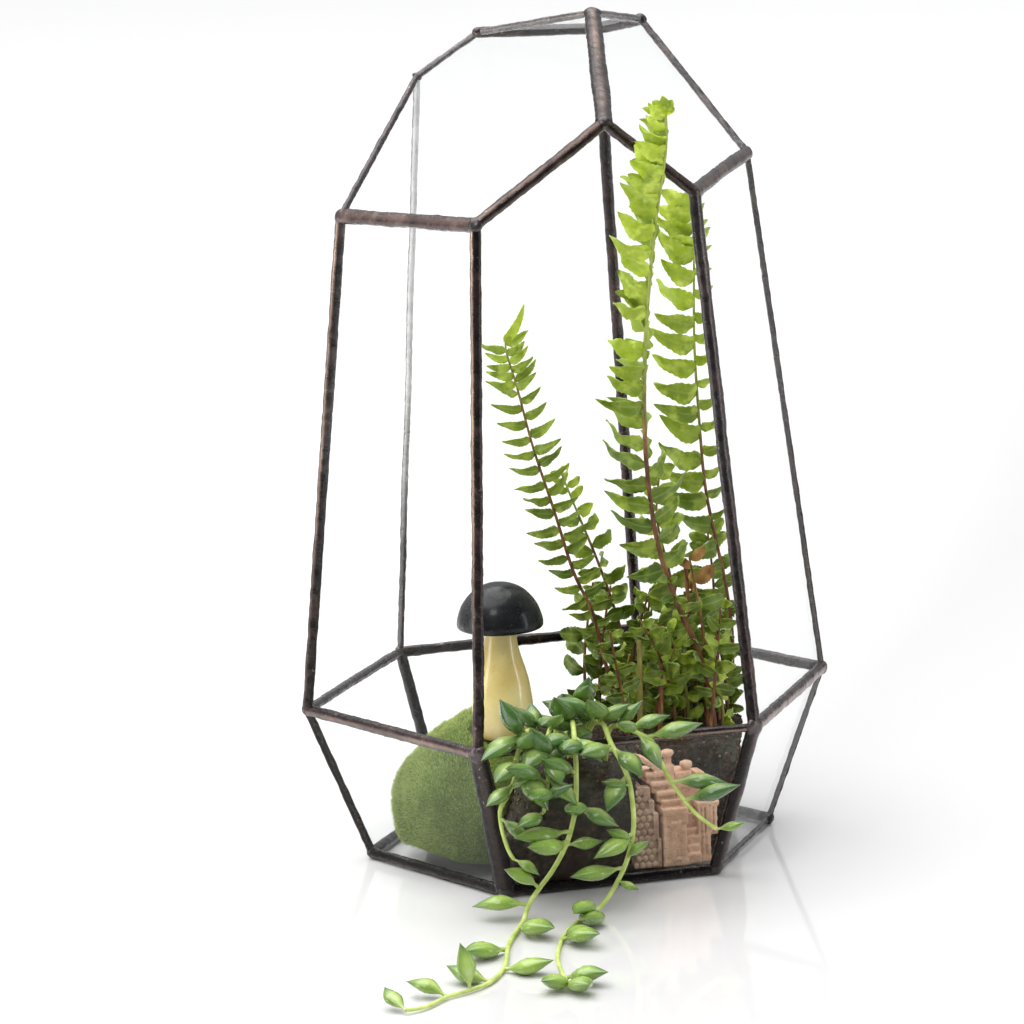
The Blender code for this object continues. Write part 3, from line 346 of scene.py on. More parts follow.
SOLDER = solder_look()
GLASS = glass_look()
SOIL = soil_look()
MOSS = moss_look()
CHARCOAL = charcoal_look()
CREAM = cream_look()
SANDSTONE = stone_look("sandstone", (0.48, 0.27, 0.165), (0.72, 0.45, 0.30), (0.88, 0.64, 0.47),
                       (0.17, 0.085, 0.05), 60)
COBBLE = stone_look("cobble_stone", (0.28, 0.17, 0.11), (0.57, 0.39, 0.27), (0.78, 0.60, 0.45),
                    (0.050, 0.030, 0.020), 90)
LEAF = fern_look()
DRY = dry_look()
RACHIS = rachis_look()
PLUMP = succulent_look()
VINE = vine_look()
FLOOR = floor_look()


# Meshes

NO_TONES = (0.0, 0.0, 0.0, 0.0)


class Shell:
    """Points, faces, tones and material numbers gathered for one piece, in millimetres."""

    def __init__(self):
        self.points = []
        self.faces = []
        self.tones = []
        self.looks = []

    def add(self, points, faces, tones=NO_TONES, look=0):
        start = len(self.points)
        self.points += points
        self.tones += tones if isinstance(tones, list) else [tones] * len(points)
        self.faces += [tuple(start + i for i in face) for face in faces]
        self.looks += [look] * len(faces)

    def mesh(self, name):
        made = bpy.data.meshes.new(name)
        made.from_pydata([Vector(p) * MM for p in self.points], [], self.faces)
        return made

    def build(self, name, looks, slot, nodes=(), sharp=60):
        mesh = self.mesh(name)
        for look in looks:
            mesh.materials.append(look)
        mesh.polygons.foreach_set("material_index", self.looks)
        tint(mesh, self.tones)
        mesh.shade_smooth()
        if sharp:
            mesh.set_sharp_from_angle(angle=radians(sharp))
        place(name, mesh, slot, nodes)


def tint(mesh, tones):
    """Write the four tones of every point, which the materials read."""
    tone = mesh.color_attributes.new("tone", "FLOAT_COLOR", "POINT")
    tone.data.foreach_set("color", np.array(tones, np.float32).ravel())


def place(name, mesh, slot, nodes):
    """Put a finished mesh in the scene as one piece of the object."""
    piece = bpy.data.objects.new(name, mesh)
    bpy.context.scene.collection.objects.link(piece)
    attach(piece, "root")
    if nodes:
        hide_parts(*nodes)


def loft(rings):
    """Points and faces of a closed skin through rings of equal count."""
    count = len(rings[0])
    points = [p for ring in rings for p in ring]
    faces = []
    for low in range(0, len(points) - count, count):
        for i in range(count):
            k = (i + 1) % count
            faces.append((low + i, low + k, low + count + k, low + count + i))
    faces.append(tuple(reversed(range(count))))
    faces.append(tuple(range(len(points) - count, len(points))))
    return points, faces


def circle(count, start=0.0):
    """Cosine and sine at even steps round a circle."""
    angles = [2.0 * pi * k / count + start for k in range(count)]
    return [(cos(a), sin(a)) for a in angles]


def smooth_path(route, step):
    """Points at nearly even spacing on a curve through the route's own points."""
    knots = [Vector(p) for p in route]
    knots = [knots[0] * 2 - knots[1]] + knots + [knots[-1] * 2 - knots[-2]]
    path = []
    for i in range(1, len(knots) - 2):
        a, b, c, d = knots[i - 1:i + 3]
        parts = max(1, round((c - b).length / step))
        for j in range(parts):
            t = j / parts
            path.append(0.5 * (2 * b + (c - a) * t + (2 * a - 5 * b + 4 * c - d) * t ** 2
                               + (3 * b - a - 3 * c + d) * t ** 3))
    path.append(knots[-2])
    return path


def between(rows, where):
    """Value between the (place, value) rows, straight from one to the next."""
    for (a, low), (b, high) in zip(rows, rows[1:]):
        if where <= b:
            return low + (high - low) * max(where - a, 0.0) / (b - a)
    return rows[-1][1]


# The glass case

NAMES = ("front_left", "front_right", "right", "back_right", "back_left", "left")
PLACES = {
    "girdle_front_left": (-49.8, -71.7, 50.0), "girdle_front_right": (38.2, -71.7, 50.0),
    "girdle_right": (83.5, -5.7, 50.0), "girdle_back_right": (46.4, 71.9, 50.0),
    "girdle_back_left": (-35.0, 71.4, 50.0), "girdle_left": (-83.2, 5.8, 50.0),
    "foot_front_left": (-38.08, -55.7, 2.0), "foot_front_right": (29.78, -55.7, 2.0),
    "foot_right": (64.69, -4.84, 2.0), "foot_back_right": (35.82, 55.53, 2.0),
    "foot_back_left": (-27.34, 55.15, 2.0), "foot_left": (-64.22, 4.95, 2.0),
    "left_peak": (-66.69, 4.56, 205.23), "front_left_peak": (-40.61, -55.09, 208.79),
    "front_apex": (1.59, -52.19, 236.55), "front_right_peak": (28.73, -54.57, 213.78),
    "right_peak": (62.85, -4.21, 217.22), "summit": (18.82, 12.65, 261.97),
    "right_crest": (40.71, 32.28, 256.56), "left_crest": (-7.51, 50.9, 253.51),
    "back_left_peak": (-27.79, 52.07, 240.74), "back_right_peak": (32.15, 51.27, 252.23)}
CORNERS = {name: Vector(p) for name, p in PLACES.items()}
SIDES = {"front": ("front_left", "front_right"), "right_front": ("front_right", "right"),
         "right_back": ("right", "back_right"), "back": ("back_right", "back_left"),
         "left_back": ("back_left", "left"), "left_front": ("left", "front_left")}
WALL_TOPS = {"right_front": ("right_peak", "front_right_peak"),
             "right_back": ("back_right_peak", "right_crest", "right_peak"),
             "back": ("back_left_peak", "left_crest", "back_right_peak"),
             "left_back": ("left_peak", "back_left_peak"),
             "left_front": ("front_left_peak", "left_peak"),
             "front": ("front_right_peak", "front_apex", "front_left_peak")}
ROOF = {"left": ("left_peak", "front_left_peak", "front_apex", "summit", "left_crest",
                 "back_left_peak"),
        "right": ("front_apex", "front_right_peak", "right_peak", "right_crest", "summit"),
        "back": ("summit", "right_crest", "back_right_peak", "left_crest")}
CROWN_LOOP = ("left_peak", "front_left_peak", "front_apex", "front_right_peak", "right_peak",
              "right_crest", "back_right_peak", "left_crest", "back_left_peak")
UPPER_POSTS = {"left": "left_peak", "front_left": "front_left_peak",
               "front_right": "front_right_peak", "right": "right_peak",
               "back_right": "back_right_peak", "back_left": "back_left_peak"}
OPEN_FACE = "pane_upper_front"
MIDDLE = Vector((0.0, 0.0, 110.0))


def outlines():
    """Corner names round each pane, with the open face among them."""
    made = {"pane_base": ["foot_" + n for n in NAMES]}
    for side, (a, b) in SIDES.items():
        made["pane_lower_" + side] = ["girdle_" + a, "girdle_" + b, "foot_" + b, "foot_" + a]
        made["pane_upper_" + side] = ["girdle_" + a, "girdle_" + b, *WALL_TOPS[side]]
    for side, names in ROOF.items():
        made["pane_roof_" + side] = list(names)
    return made


OUTLINES = outlines()


def facing(names):
    """Outward normal of the pane through these corners."""
    ring = [CORNERS[n] for n in names]
    normal = Vector((0, 0, 0))
    for i, p in enumerate(ring):
        normal += (p - ring[0]).cross(ring[(i + 1) % len(ring)] - ring[0])
    normal.normalize()
    return normal if normal.dot(ring[0] - MIDDLE) > 0 else -normal


FACINGS = {name: facing(names) for name, names in OUTLINES.items()}
PANE_EDGE = 0.7         # from the line of a seam to the edge of the glass, under the solder
PANE_HALF = 0.75
BASE_FACES = (0.3, 2.3)     # levels of the two faces of the base pane


def build_panes():
    for name, names in OUTLINES.items():
        if name == OPEN_FACE:
            continue
        ring = [CORNERS[n] for n in names]
        normal = FACINGS[name]
        if (ring[1] - ring[0]).cross(ring[2] - ring[1]).dot(normal) < 0:
            ring.reverse()
        moved = []
        for i, corner in enumerate(ring):
            before = (corner - ring[i - 1]).normalized()
            after = (ring[(i + 1) % len(ring)] - corner).normalized()
            half = (before + after).normalized()
            moved.append(corner + normal.cross(half) * (PANE_EDGE / half.dot(after)))
        if name == "pane_base":
            rings = [[Vector((p.x, p.y, level)) for p in moved] for level in BASE_FACES]
        else:
            rings = [[p + normal * depth for p in moved] for depth in (-PANE_HALF, PANE_HALF)]
        shell = Shell()
        shell.add(*loft(rings))
        shell.build("glass_" + name.removeprefix("pane_"), [GLASS], "clear_glass", [name], sharp=30)


# Solder

BEAD_SIDES = 16
BEAD_STEP = 0.9
SEAM_HEIGHT = 1.65      # how far a seam stands out of the pane's plane, at most
USUAL_SEAM = (1.8, 0.15, 0.0)
# half width, how brown-grey and how silvery (silvery solder, in part a painted reflection), for the seams
# that differ
SEAM_KIND = {
    ("girdle_front_left", "foot_front_left"): (3.05, 0.10, 0.0),
    ("girdle_front_right", "foot_front_right"): (2.5, 0.05, 0.0),
    ("girdle_left", "girdle_front_left"): (1.8, 0.30, 0.0),
    ("girdle_front_right", "girdle_right"): (2.0, 0.75, 0.05),
    ("girdle_front_left", "girdle_front_right"): (1.25, 0.1, 0.0),
    ("girdle_left", "girdle_back_left"): (1.4, 0.15, 0.05),
    ("foot_right", "girdle_right"): (0.7, 0.1, 0.0),
    ("foot_left", "girdle_left"): (1.05, 0.15, 0.04),
    ("foot_front_right", "foot_right"): (0.6, 0.1, 0.0),
    ("left_peak", "back_left_peak"): (0.8, 0.15, 0.05),
    ("back_left_peak", "left_crest"): (0.78, 0.15, 0.15),
    ("girdle_left", "left_peak"): (1.5, 0.2, 0.05),
    ("girdle_front_left", "front_left_peak"): (1.7, 0.18, 0.0),
    ("left_peak", "front_left_peak"): (2.35, 0.75, 0.0),
    ("front_apex", "summit"): (2.7, 0.05, 0.0),
    ("front_right_peak", "right_peak"): (2.15, 0.50, 0.03),
    ("right_peak", "right_crest"): (0.85, 0.10, 0.10),
    ("girdle_right", "right_peak"): (0.7, 0.05, 0.06),
    ("girdle_back_left", "back_left_peak"): (0.9, 0.4, 1.0),
    ("front_left_peak", "front_apex"): (1.8, 0.10, 0.0),
    ("girdle_front_right", "front_right_peak"): (2.0, 0.0, 0.05),
    ("left_crest", "summit"): (0.9, 0.15, 0.15), ("right_crest", "summit"): (0.95, 0.15, 0.25)}
JOINT_RADIUS = {"front_apex": 2.5, "right_peak": 2.1, "girdle_front_right": 3.5,
                "girdle_front_left": 3.1, "foot_front_left": 2.9}
# the strength of a seam's painted highlight stripe and where its middle lies across the seam
SEAM_PAINTED_HIGHLIGHT = {"upper_post_left": (1.0, -0.65), "upper_post_front_left": (1.0, 0.5),
               "upper_post_front_right": (0.1, 0.0), "lower_post_front_left": (0.1, 0.0),
               "lower_post_front_right": (0.15, 0.0), "upper_post_right": (0.2, 0.0),
               "upper_post_back_left": (0.3, 0.0), "upper_post_back_right": (0.1, 0.7),
               "crown_rim": (0.35, 0.0), "base_rim": (0.3, 0.0), "girdle_rim": (0.5, 0.0)}
USUAL_PAINTED_HIGHLIGHT = (0.5, 0.0)
PAINTED_HIGHLIGHT_RISE = (82.0, 142.0, 0.05)   # levels between which the strongest painted highlight stripes grow, from a low share
SILVER_AND_REFLECTION_RISE = (85.0, 140.0)         # and those between which a seam turns silvery, in part a painted reflection
JOINT_TONES = (0.25, 0.05, 0.0, 0.0)
JOINT_ROWS = 10


def seam_kind(a, b):
    return SEAM_KIND.get((a, b)) or SEAM_KIND.get((b, a)) or USUAL_SEAM


def outward(*corners):
    """The way that the panes with all these corners face, taken together."""
    return sum((FACINGS[pane] for pane, names in OUTLINES.items() if set(corners) <= set(names)),
               Vector((0, 0, 0))).normalized()


def inside_box(point):
    """The point moved inside the part's own box, so that no lump makes it larger."""
    low, high = CAD_BOX
    return Vector([min(max(v, lo / MM + 0.02), hi / MM - 0.02)
                   for v, lo, hi in zip(point, low, high)])


def rise(level, low, high, least=0.0):
    """1 above the high level, falling evenly to 0 at the low one, and never under least."""
    return min(max((level - low) / (high - low), least), 1.0)


def swollen(value, power):
    """A cosine or sine with its size raised to a power, which makes a bead fuller."""
    return copysign(abs(value) ** power, value)


def bead(shell, a, b, seed, painted_highlight):
    """One hand-run seam from corner a to corner b: uneven in width, height and line."""
    start, end = CORNERS[a], CORNERS[b]
    half, grey, silver_and_reflection = seam_kind(a, b)
    strength, highlight_at = painted_highlight
    along = (end - start).normalized()
    across = along.cross(outward(a, b)).normalized()
    out = across.cross(along)
    steps = round((end - start).length / BEAD_STEP)
    rings = []
    tones = []
    for i in range(steps + 1):
        centre = start.lerp(end, i / steps)
        drift = noise(centre * 0.045 + Vector((seed, 0, 7)))
        slow = noise(centre * 0.12 + Vector((seed, 3, 0)))
        quick = noise(centre * 0.5 + Vector((0, seed, 5)))
        wide = half * (1.0 + 0.10 * slow + 0.06 * quick)
        tall = min(SEAM_HEIGHT, 0.25 + half) * (1.0 + 0.10 * noise(centre * 0.2 + Vector((9, seed, 1))))
        middle = centre + across * (0.28 * drift)
        # painted highlight stripe; the strongest ones fade out lower down the posts
        highlight_share = strength * (rise(centre.z, *PAINTED_HIGHLIGHT_RISE) if strength > 0.9 else 1.0)
        # silvery solder, in part a painted reflection, growing towards the top
        silver_and_reflection_share = silver_and_reflection * (0.95 + 0.4 * slow) * (0.05 + 0.95 * rise(centre.z, *SILVER_AND_REFLECTION_RISE))
        ring = []
        for c, s in circle(BEAD_SIDES):
            spot = middle + across * (wide * swollen(c, 0.9)) + out * (tall * swollen(s, 0.8))
            lump = 0.16 * noise(spot * 0.45) + 0.09 * noise(spot * 1.3)
            ring.append(inside_box(spot + (spot - middle).normalized() * lump))
            dull = 0.1 if silver_and_reflection > 0.9 and s > 0.2 else 1.0
            tones.append((grey * (1.0 - 0.9 * abs(c) ** 4) if s > 0 else 0.05, min(silver_and_reflection_share * dull, 1.0),
                          0.5 + 0.5 * (c - highlight_at) if s > 0.1 else 0.0, highlight_share))
        rings.append(ring)
    shell.add(*loft(rings), tones)


def joint(shell, name, seed):
    """The knob of solder where seams meet."""
    centre = CORNERS[name]
    widest = max(seam_kind(name, other)[0] for pane in OUTLINES.values() if name in pane
                 for other in (pane[pane.index(name) - 1], pane[(pane.index(name) + 1) % len(pane)]))
    radius = JOINT_RADIUS.get(name, 0.25 + widest)
    out = outward(name)
    side = out.orthogonal().normalized()
    up = out.cross(side)
    rings = []
    for row in range(1, JOINT_ROWS):
        turn = pi * row / JOINT_ROWS
        ring = []
        for c, s in circle(BEAD_SIDES):
            way = side * (sin(turn) * c) + up * (sin(turn) * s) + out * cos(turn)
            spot = centre + way * radius - out * (way.dot(out) * (radius - 1.05 * SEAM_HEIGHT))
            spot += way * (0.30 * noise(spot * 0.35 + Vector((seed, 0, 0))) + 0.1 * noise(spot))
            ring.append(inside_box(spot))
        rings.append(ring)
    shell.add(*loft(rings), JOINT_TONES)


def build_solder():
    def rim(name, edges, corners):
        shell = Shell()
        for i, (a, b) in enumerate(edges):
            bead(shell, a, b, 1.7 * i + len(name), SEAM_PAINTED_HIGHLIGHT[name])
        for i, corner in enumerate(corners):
            joint(shell, corner, 2.3 * i)
        shell.build("solder_" + name, [SOLDER], "patina_solder", [name])

    def loop(names):
        return list(zip(names, names[1:] + names[:1]))

    foot = ["foot_" + n for n in NAMES]
    girdle = ["girdle_" + n for n in NAMES]
    rim("base_rim", loop(foot), foot)
    rim("girdle_rim", loop(girdle), girdle)
    ribs = [("front_apex", "summit"), ("left_crest", "summit"), ("right_crest", "summit")]
    rim("crown_rim", loop(CROWN_LOOP) + ribs, [*CROWN_LOOP, "summit"])
    for i, name in enumerate(NAMES):
        for part, low, high in (("lower", "foot_" + name, "girdle_" + name),
                                ("upper", "girdle_" + name, UPPER_POSTS[name])):
            shell = Shell()
            node = part + "_post_" + name
            bead(shell, high, low, 11.0 + i, SEAM_PAINTED_HIGHLIGHT.get(node, USUAL_PAINTED_HIGHLIGHT))
            shell.build("solder_" + node, [SOLDER], "patina_solder", [node])


# Ground

def remeshed(mesh, voxel):
    """An even skin of quads round a mesh, which is taken away."""
    holder = bpy.data.objects.new("remesh", mesh)
    bpy.context.scene.collection.objects.link(holder)
    step = holder.modifiers.new("remesh", "REMESH")
    step.mode = "VOXEL"
    step.voxel_size = voxel * MM
    step.adaptivity = 0.0
    bpy.context.view_layer.update()
    depsgraph = bpy.context.evaluated_depsgraph_get()
    made = bpy.data.meshes.new_from_object(holder.evaluated_get(depsgraph))
    bpy.data.objects.remove(holder)
    bpy.data.meshes.remove(mesh)
    return made


def read(rows, key, kind, width):
    """One property of all the rows of a mesh, as an array of that width."""
    values = np.empty(len(rows) * width, kind)
    rows.foreach_get(key, values)
    return values.reshape(-1, width)


def arrays(mesh):
    """Points and normals of a mesh in millimetres."""
    return (read(mesh.vertices, "co", np.float32, 3) / MM,
            read(mesh.vertex_normals, "vector", np.float32, 3))


def write(mesh, points):
    """Put points back into their mesh."""
    mesh.vertices.foreach_set("co", (points * MM).astype(np.float32).ravel())
    mesh.update()


def relaxed(mesh, points, rounds):
    """Points pulled half way to the middle of their neighbours, a number of times."""
    a, b = read(mesh.edges, "vertices", np.int32, 2).T
    count = np.bincount(a, minlength=len(points)) + np.bincount(b, minlength=len(points))
    for _ in range(rounds):
        total = np.zeros_like(points)
        for axis in range(3):
            total[:, axis] = (np.bincount(a, points[b, axis], len(points))
                              + np.bincount(b, points[a, axis], len(points)))
        points = points + (total / count[:, None] - points) * 0.5
    return points


def noises(points, scale, seed=0.0):
    """Noise at every point; scale is cycles per millimetre."""
    shift = Vector((seed, seed * 0.7, -seed))
    return np.array([noise(Vector(p) * scale + shift) for p in points.tolist()], np.float32)


def finish_mesh(mesh, name, points, look, slot, node, tones=None):
    """Write points and tones back and place the mesh as a piece."""
    mesh.name = name
    write(mesh, points)
    for old in list(mesh.color_attributes):
        mesh.color_attributes.remove(old)
    tint(mesh, np.zeros((len(points), 4)) if tones is None else tones)
    mesh.materials.clear()
    mesh.materials.append(look)
    mesh.polygons.foreach_set("material_index", [0] * len(mesh.polygons))
    mesh.shade_smooth()
    place(name, mesh, slot, [node])


def surface_spots(mesh, points, normals, count, seed, wanted):
    """Random places and normals on the faces for which wanted(place, normal) holds."""
    rng = np.random.default_rng(seed)
    mesh.calc_loop_triangles()
    a, b, c = read(mesh.loop_triangles, "vertices", np.int32, 3).T
    area = np.linalg.norm(np.cross(points[b] - points[a], points[c] - points[a]), axis=1)
    pick = rng.choice(len(area), count, p=area / area.sum())
    u, v = rng.random((2, count))
    flip = u + v > 1
    u[flip], v[flip] = 1 - u[flip], 1 - v[flip]
    a, b, c = a[pick], b[pick], c[pick]
    w = 1 - u - v
    spots = points[a] * w[:, None] + points[b] * u[:, None] + points[c] * v[:, None]
    ways = normals[a] * w[:, None] + normals[b] * u[:, None] + normals[c] * v[:, None]
    ways /= np.maximum(np.linalg.norm(ways, axis=1), 1e-6)[:, None]
    keep = wanted(spots, ways)
    return spots[keep], ways[keep]


GRAIN = [Vector(p).normalized() for p in ((1, 0, 0.2), (-1, 0.2, 0), (0, 1, -0.2), (0.2, -1, 0),
                                          (0, 0.2, 1), (-0.2, 0, -1))]
GRAIN_FACES = [(4, 0, 2), (4, 2, 1), (4, 1, 3), (4, 3, 0), (5, 2, 0), (5, 1, 2), (5, 3, 1), (5, 0, 3)]
GRAIN_SIZES = (0.35, 0.4, 0.45, 0.5, 0.6, 0.8)
GRAIN_COUNT = 6500
SOIL_FLOOR = 2.5        # just over the base pane
MOSS_FLOOR = 2.6
BLADE_COUNT = 47000


def build_soil():
    mesh = remeshed(bpy.data.objects["soil"].data.copy(), voxel=0.95)
    points, normals = arrays(mesh)
    raised = 0.45 * noises(points, 0.22) + 0.42 * noises(points, 0.6, 4.0) + 0.25 * noises(points, 1.2, 9)
    raised[points[:, 2] < 5.0] *= 0.2
    raised = np.minimum(raised, 0.35)
    # its front right corner stands out a little further than the CAD part's
    corner = np.clip((points[:, 0] - 30.0) / 10.0, 0, 1) * np.clip((-20.0 - points[:, 1]) / 20.0, 0, 1)
    raised += 1.0 * corner * (points[:, 2] > 6.0)
    points = points + normals * raised[:, None]
    points[:, 0] += 1.9 * corner * np.clip((points[:, 2] - 28.0) / 10.0, 0, 1)
    points[:, 2] = np.maximum(points[:, 2], SOIL_FLOOR)
    shell = Shell()
    spots, ways = surface_spots(mesh, points, normals, GRAIN_COUNT, seed=3,
                                wanted=lambda p, n: (p[:, 2] > 4.0) & (n[:, 2] > -0.3))
    rng = Random(5)
    for spot, way in zip(spots.tolist(), ways.tolist()):
        size = rng.choice(GRAIN_SIZES) * rng.uniform(0.8, 1.2)
        turn = Matrix.Rotation(rng.uniform(0, 6.28), 3, Vector((rng.random(), rng.random(), 1.0)))
        flat = Vector((rng.uniform(0.7, 1.4), rng.uniform(0.7, 1.1), rng.uniform(0.6, 1.0)))
        centre = Vector(spot) + Vector(way) * (size * 0.1)
        grain = [centre + turn @ (p * flat) * size for p in GRAIN]
        if min(p.z for p in grain) >= SOIL_FLOOR:
            shell.add(grain, GRAIN_FACES, (1.0, 0.0, 0.0, rng.random() ** 2))
    finish_mesh(mesh, "soil_bed", points, SOIL, "dark_soil", "soil")
    shell.build("soil_grains", [SOIL], "dark_soil", sharp=25)


def blades(shell, spots, ways, seed, length, radius, comb):
    """Short tapering blades of moss, each a closed sliver with three sides."""
    rng = Random(seed)
    for spot, way in zip(spots.tolist(), ways.tolist()):
        spot, way = Vector(spot), Vector(way)
        lean = Vector([rng.gauss(0, 0.34) for _ in range(3)])
        flow = Vector((noise(spot * 0.05), noise(spot * 0.05 + Vector((5, 0, 0))), 0.0)) * comb
        up = (way + lean + flow + Vector((0, 0, 0.25))).normalized()
        side = up.orthogonal().normalized()
        other = up.cross(side)
        tall = length * rng.uniform(0.6, 1.25)
        thick = radius * rng.uniform(0.8, 1.2)
        root = spot - way * 0.4
        base = [root + side * thick, root - side * (thick * 0.5) + other * (thick * 0.87),
                root - side * (thick * 0.5) - other * (thick * 0.87)]
        tip = root + up * tall
        tip.z = max(tip.z, MOSS_FLOOR)
        chance = rng.random() ** 3
        shell.add(base + [tip], [(0, 1, 3), (1, 2, 3), (2, 0, 3), (0, 2, 1)],
                  [(0.15, 0, 0, chance)] * 3 + [(1.0, 0, 0, chance)])


def build_moss():
    mesh = remeshed(bpy.data.objects["moss_mound"].data.copy(), voxel=1.1)
    points, normals = arrays(mesh)
    points = relaxed(mesh, points, rounds=3)
    raised = 1.15 * noises(points, 0.075) + 0.40 * noises(points, 0.25, 3.0) - 0.75
    points = points + normals * raised[:, None]
    points[:, 2] = np.maximum(points[:, 2], MOSS_FLOOR)
    shell = Shell()
    spots, ways = surface_spots(mesh, points, normals, BLADE_COUNT, seed=8,
                                wanted=lambda p, n: (p[:, 2] > 3.4) & (n[:, 2] > -0.75))
    blades(shell, spots, ways, seed=21, length=1.55, radius=0.16, comb=0.9)
    finish_mesh(mesh, "moss_core", points, MOSS, "moss", "moss_mound")
    shell.build("moss_fuzz", [MOSS], "moss", sharp=0)


# Ornaments

def lathe(shell, centre, profile, sides, tones=None, wobble=0.0):
    """A form turned about a vertical line, from rows of radius and height and the tones of these."""
    rings = []
    for radius, height in profile:
        ring = []
        for c, s in circle(sides):
            reach = radius * (1.0 + wobble * noise(Vector((c, s, height * 0.1))))
            ring.append(Vector((centre[0], centre[1], height)) + Vector((c, s, 0)) * reach)
        rings.append(ring)
    shell.add(*loft(rings), [tone for tone in tones for _ in range(sides)] if tones else NO_TONES)


def curve_through(rows, count):
    """Rows of radius and height on a smooth curve through the given ones."""
    path = smooth_path([(r, z, 0.0) for r, z in rows], 0.01)
    path = [path[round(i * (len(path) - 1) / (count - 1))] for i in range(count)]
    return [(max(p.x, 0.02), p.y) for p in path]


MUSHROOM_AT = (-27.0, -20.0)
# rows of radius and height
STALK_FORM = [(6.5, 41.6), (8.2, 43.0), (9.5, 50.0), (9.2, 56.0), (7.7, 63.0), (5.9, 69.0),
              (4.9, 74.0), (4.7, 77.8)]
STALK_NECK = [(2.5, 77.9), (2.5, 81.9)]
HAT_HOLLOW = [(2.9, 82.2), (2.9, 78.5), (7.0, 78.3), (9.5, 77.9), (12.0, 76.9)]
HAT_FORM = [(12.6, 76.6), (13.4, 77.2), (13.3, 79.6), (11.6, 84.2), (8.2, 88.2), (4.2, 90.3),
            (0.3, 90.95)]


def build_mushroom():
    shell = Shell()
    profile = curve_through(STALK_FORM, count=44) + STALK_NECK
    foot = STALK_FORM[0][1]
    tones = [(max(0.0, 1.0 - (z - foot) / 5.0) * 0.8, 0, 0, 0) for _, z in profile]
    lathe(shell, MUSHROOM_AT, profile, sides=48, tones=tones, wobble=0.03)
    shell.build("mushroom_stalk", [CREAM], "cream_glaze", ["mushroom_stem"])
    shell = Shell()
    lathe(shell, MUSHROOM_AT, HAT_HOLLOW + curve_through(HAT_FORM, count=40), sides=56, wobble=0.02)
    shell.build("mushroom_hat", [CHARCOAL], "charcoal_glaze", ["mushroom_cap"], sharp=70)


def block(shell, low, high):
    """A block between two corners."""
    points = [Vector((x, y, z)) for z in (low[2], high[2]) for y in (low[1], high[1])
              for x in (low[0], high[0])]
    shell.add(points, [(0, 1, 3, 2), (4, 6, 7, 5), (0, 4, 5, 1), (2, 3, 7, 6), (0, 2, 6, 4),
                       (1, 5, 7, 3)])


def sculpted(shell, name, voxel, rounds, rough, look, slot, node):
    """Blocks melted into one worn stone, with tones that paint shade into its hollows and a highlight
    onto its edges.
    """
    mesh = remeshed(shell.mesh(name), voxel)
    write(mesh, relaxed(mesh, arrays(mesh)[0], rounds))
    points, normals = arrays(mesh)
    hollow = ((relaxed(mesh, points, rounds=6) - points) * normals).sum(1)
    points = points + normals * (rough * noises(points, 0.45)
                                 + rough * 0.6 * noises(points, 1.1, 3.0))[:, None]
    tones = np.zeros((len(points), 4))
    # painted shade in the hollows
    tones[:, 0] = np.clip(hollow * 5.0, 0, 0.85)
    # painted highlight on the exposed edges
    tones[:, 1] = np.clip(-hollow * 3.5, 0, 0.6)
    finish_mesh(mesh, name, points, look, slot, node, tones)


RUIN_BACK = -37.0
RUIN_BLOCKS = [
    # low corner and high corner
    ((14.6, -51.6, 2.8), (22.2, RUIN_BACK, 17.0)), ((14.3, -51.9, 2.8), (22.6, -40.0, 4.6)),
    ((14.4, -51.7, 16.4), (22.5, -37.1, 20.6)), ((14.2, -52.0, 19.6), (22.8, -37.1, 21.5)),
    ((18.6, -46.0, 18.0), (30.6, -37.2, 27.4)), ((18.4, -46.3, 26.4), (30.9, -37.2, 28.2)),
    ((19.2, -45.6, 28.0), (26.0, -37.3, 31.2)), ((28.0, -45.4, 28.0), (30.8, -37.3, 30.0)),
    ((26.2, -49.4, 2.8), (30.6, -37.4, 12.0)), ((26.0, -49.7, 2.8), (30.8, -40.0, 4.4)),
    ((26.6, -49.0, 11.0), (33.0, -37.5, 20.6)), ((26.2, -49.6, 20.2), (33.5, -37.5, 21.9)),
    ((21.0, -51.3, 2.8), (26.9, -40.0, 6.4)), ((21.0, -50.6, 6.0), (26.7, -40.0, 8.9)),
    ((21.0, -49.9, 8.5), (26.5, -40.0, 11.4)), ((21.0, -49.2, 11.0), (26.3, -40.0, 13.8)),
    ((22.0, -48.0, 13.0), (26.8, -40.0, 18.4))]
PILLAR_AT = (18.4, -49.3)
# rows of radius and height, and for the bollards of radius and depth below the top
PILLAR_FORM = [(2.6, 4.4), (3.0, 5.2), (2.8, 6.0), (2.7, 14.6), (3.0, 15.4), (3.3, 16.4), (3.3, 17.2)]
BOLLARD_FORM = [(1.9, 5.4), (1.2, 4.4), (1.2, 2.6), (1.9, 2.0), (2.1, 1.2), (1.7, 0.4), (0.7, 0.1)]
BOLLARDS = ((18.3, -45.6, 39.0), (24.8, -43.8, 34.4))
ARCH = ((5.4, -44.5, 28.9), (4.4, -44.5, 32.2), (5.4, -44.5, 35.8), (8.4, -44.5, 37.0),
        (12.0, -44.5, 35.0), (16.8, -44.5, 31.2))
# level, left edge, right edge and front of the cobbled wall
COBBLED_WALL = ((2.8, 4.8, 13.9, -50.2), (12.0, 4.6, 13.5, -49.4), (20.0, 5.0, 12.4, -48.5),
                (24.0, 5.4, 11.3, -47.9), (28.2, 5.8, 9.8, -47.3))
COBBLE_SPACING = (2.04, 2.06)       # along a row and from row to row
COBBLE_FORM = ((-0.85, 0.62), (-0.70, 0.86), (-0.2, 0.98), (0.8, 1.0))    # depth, share of the size


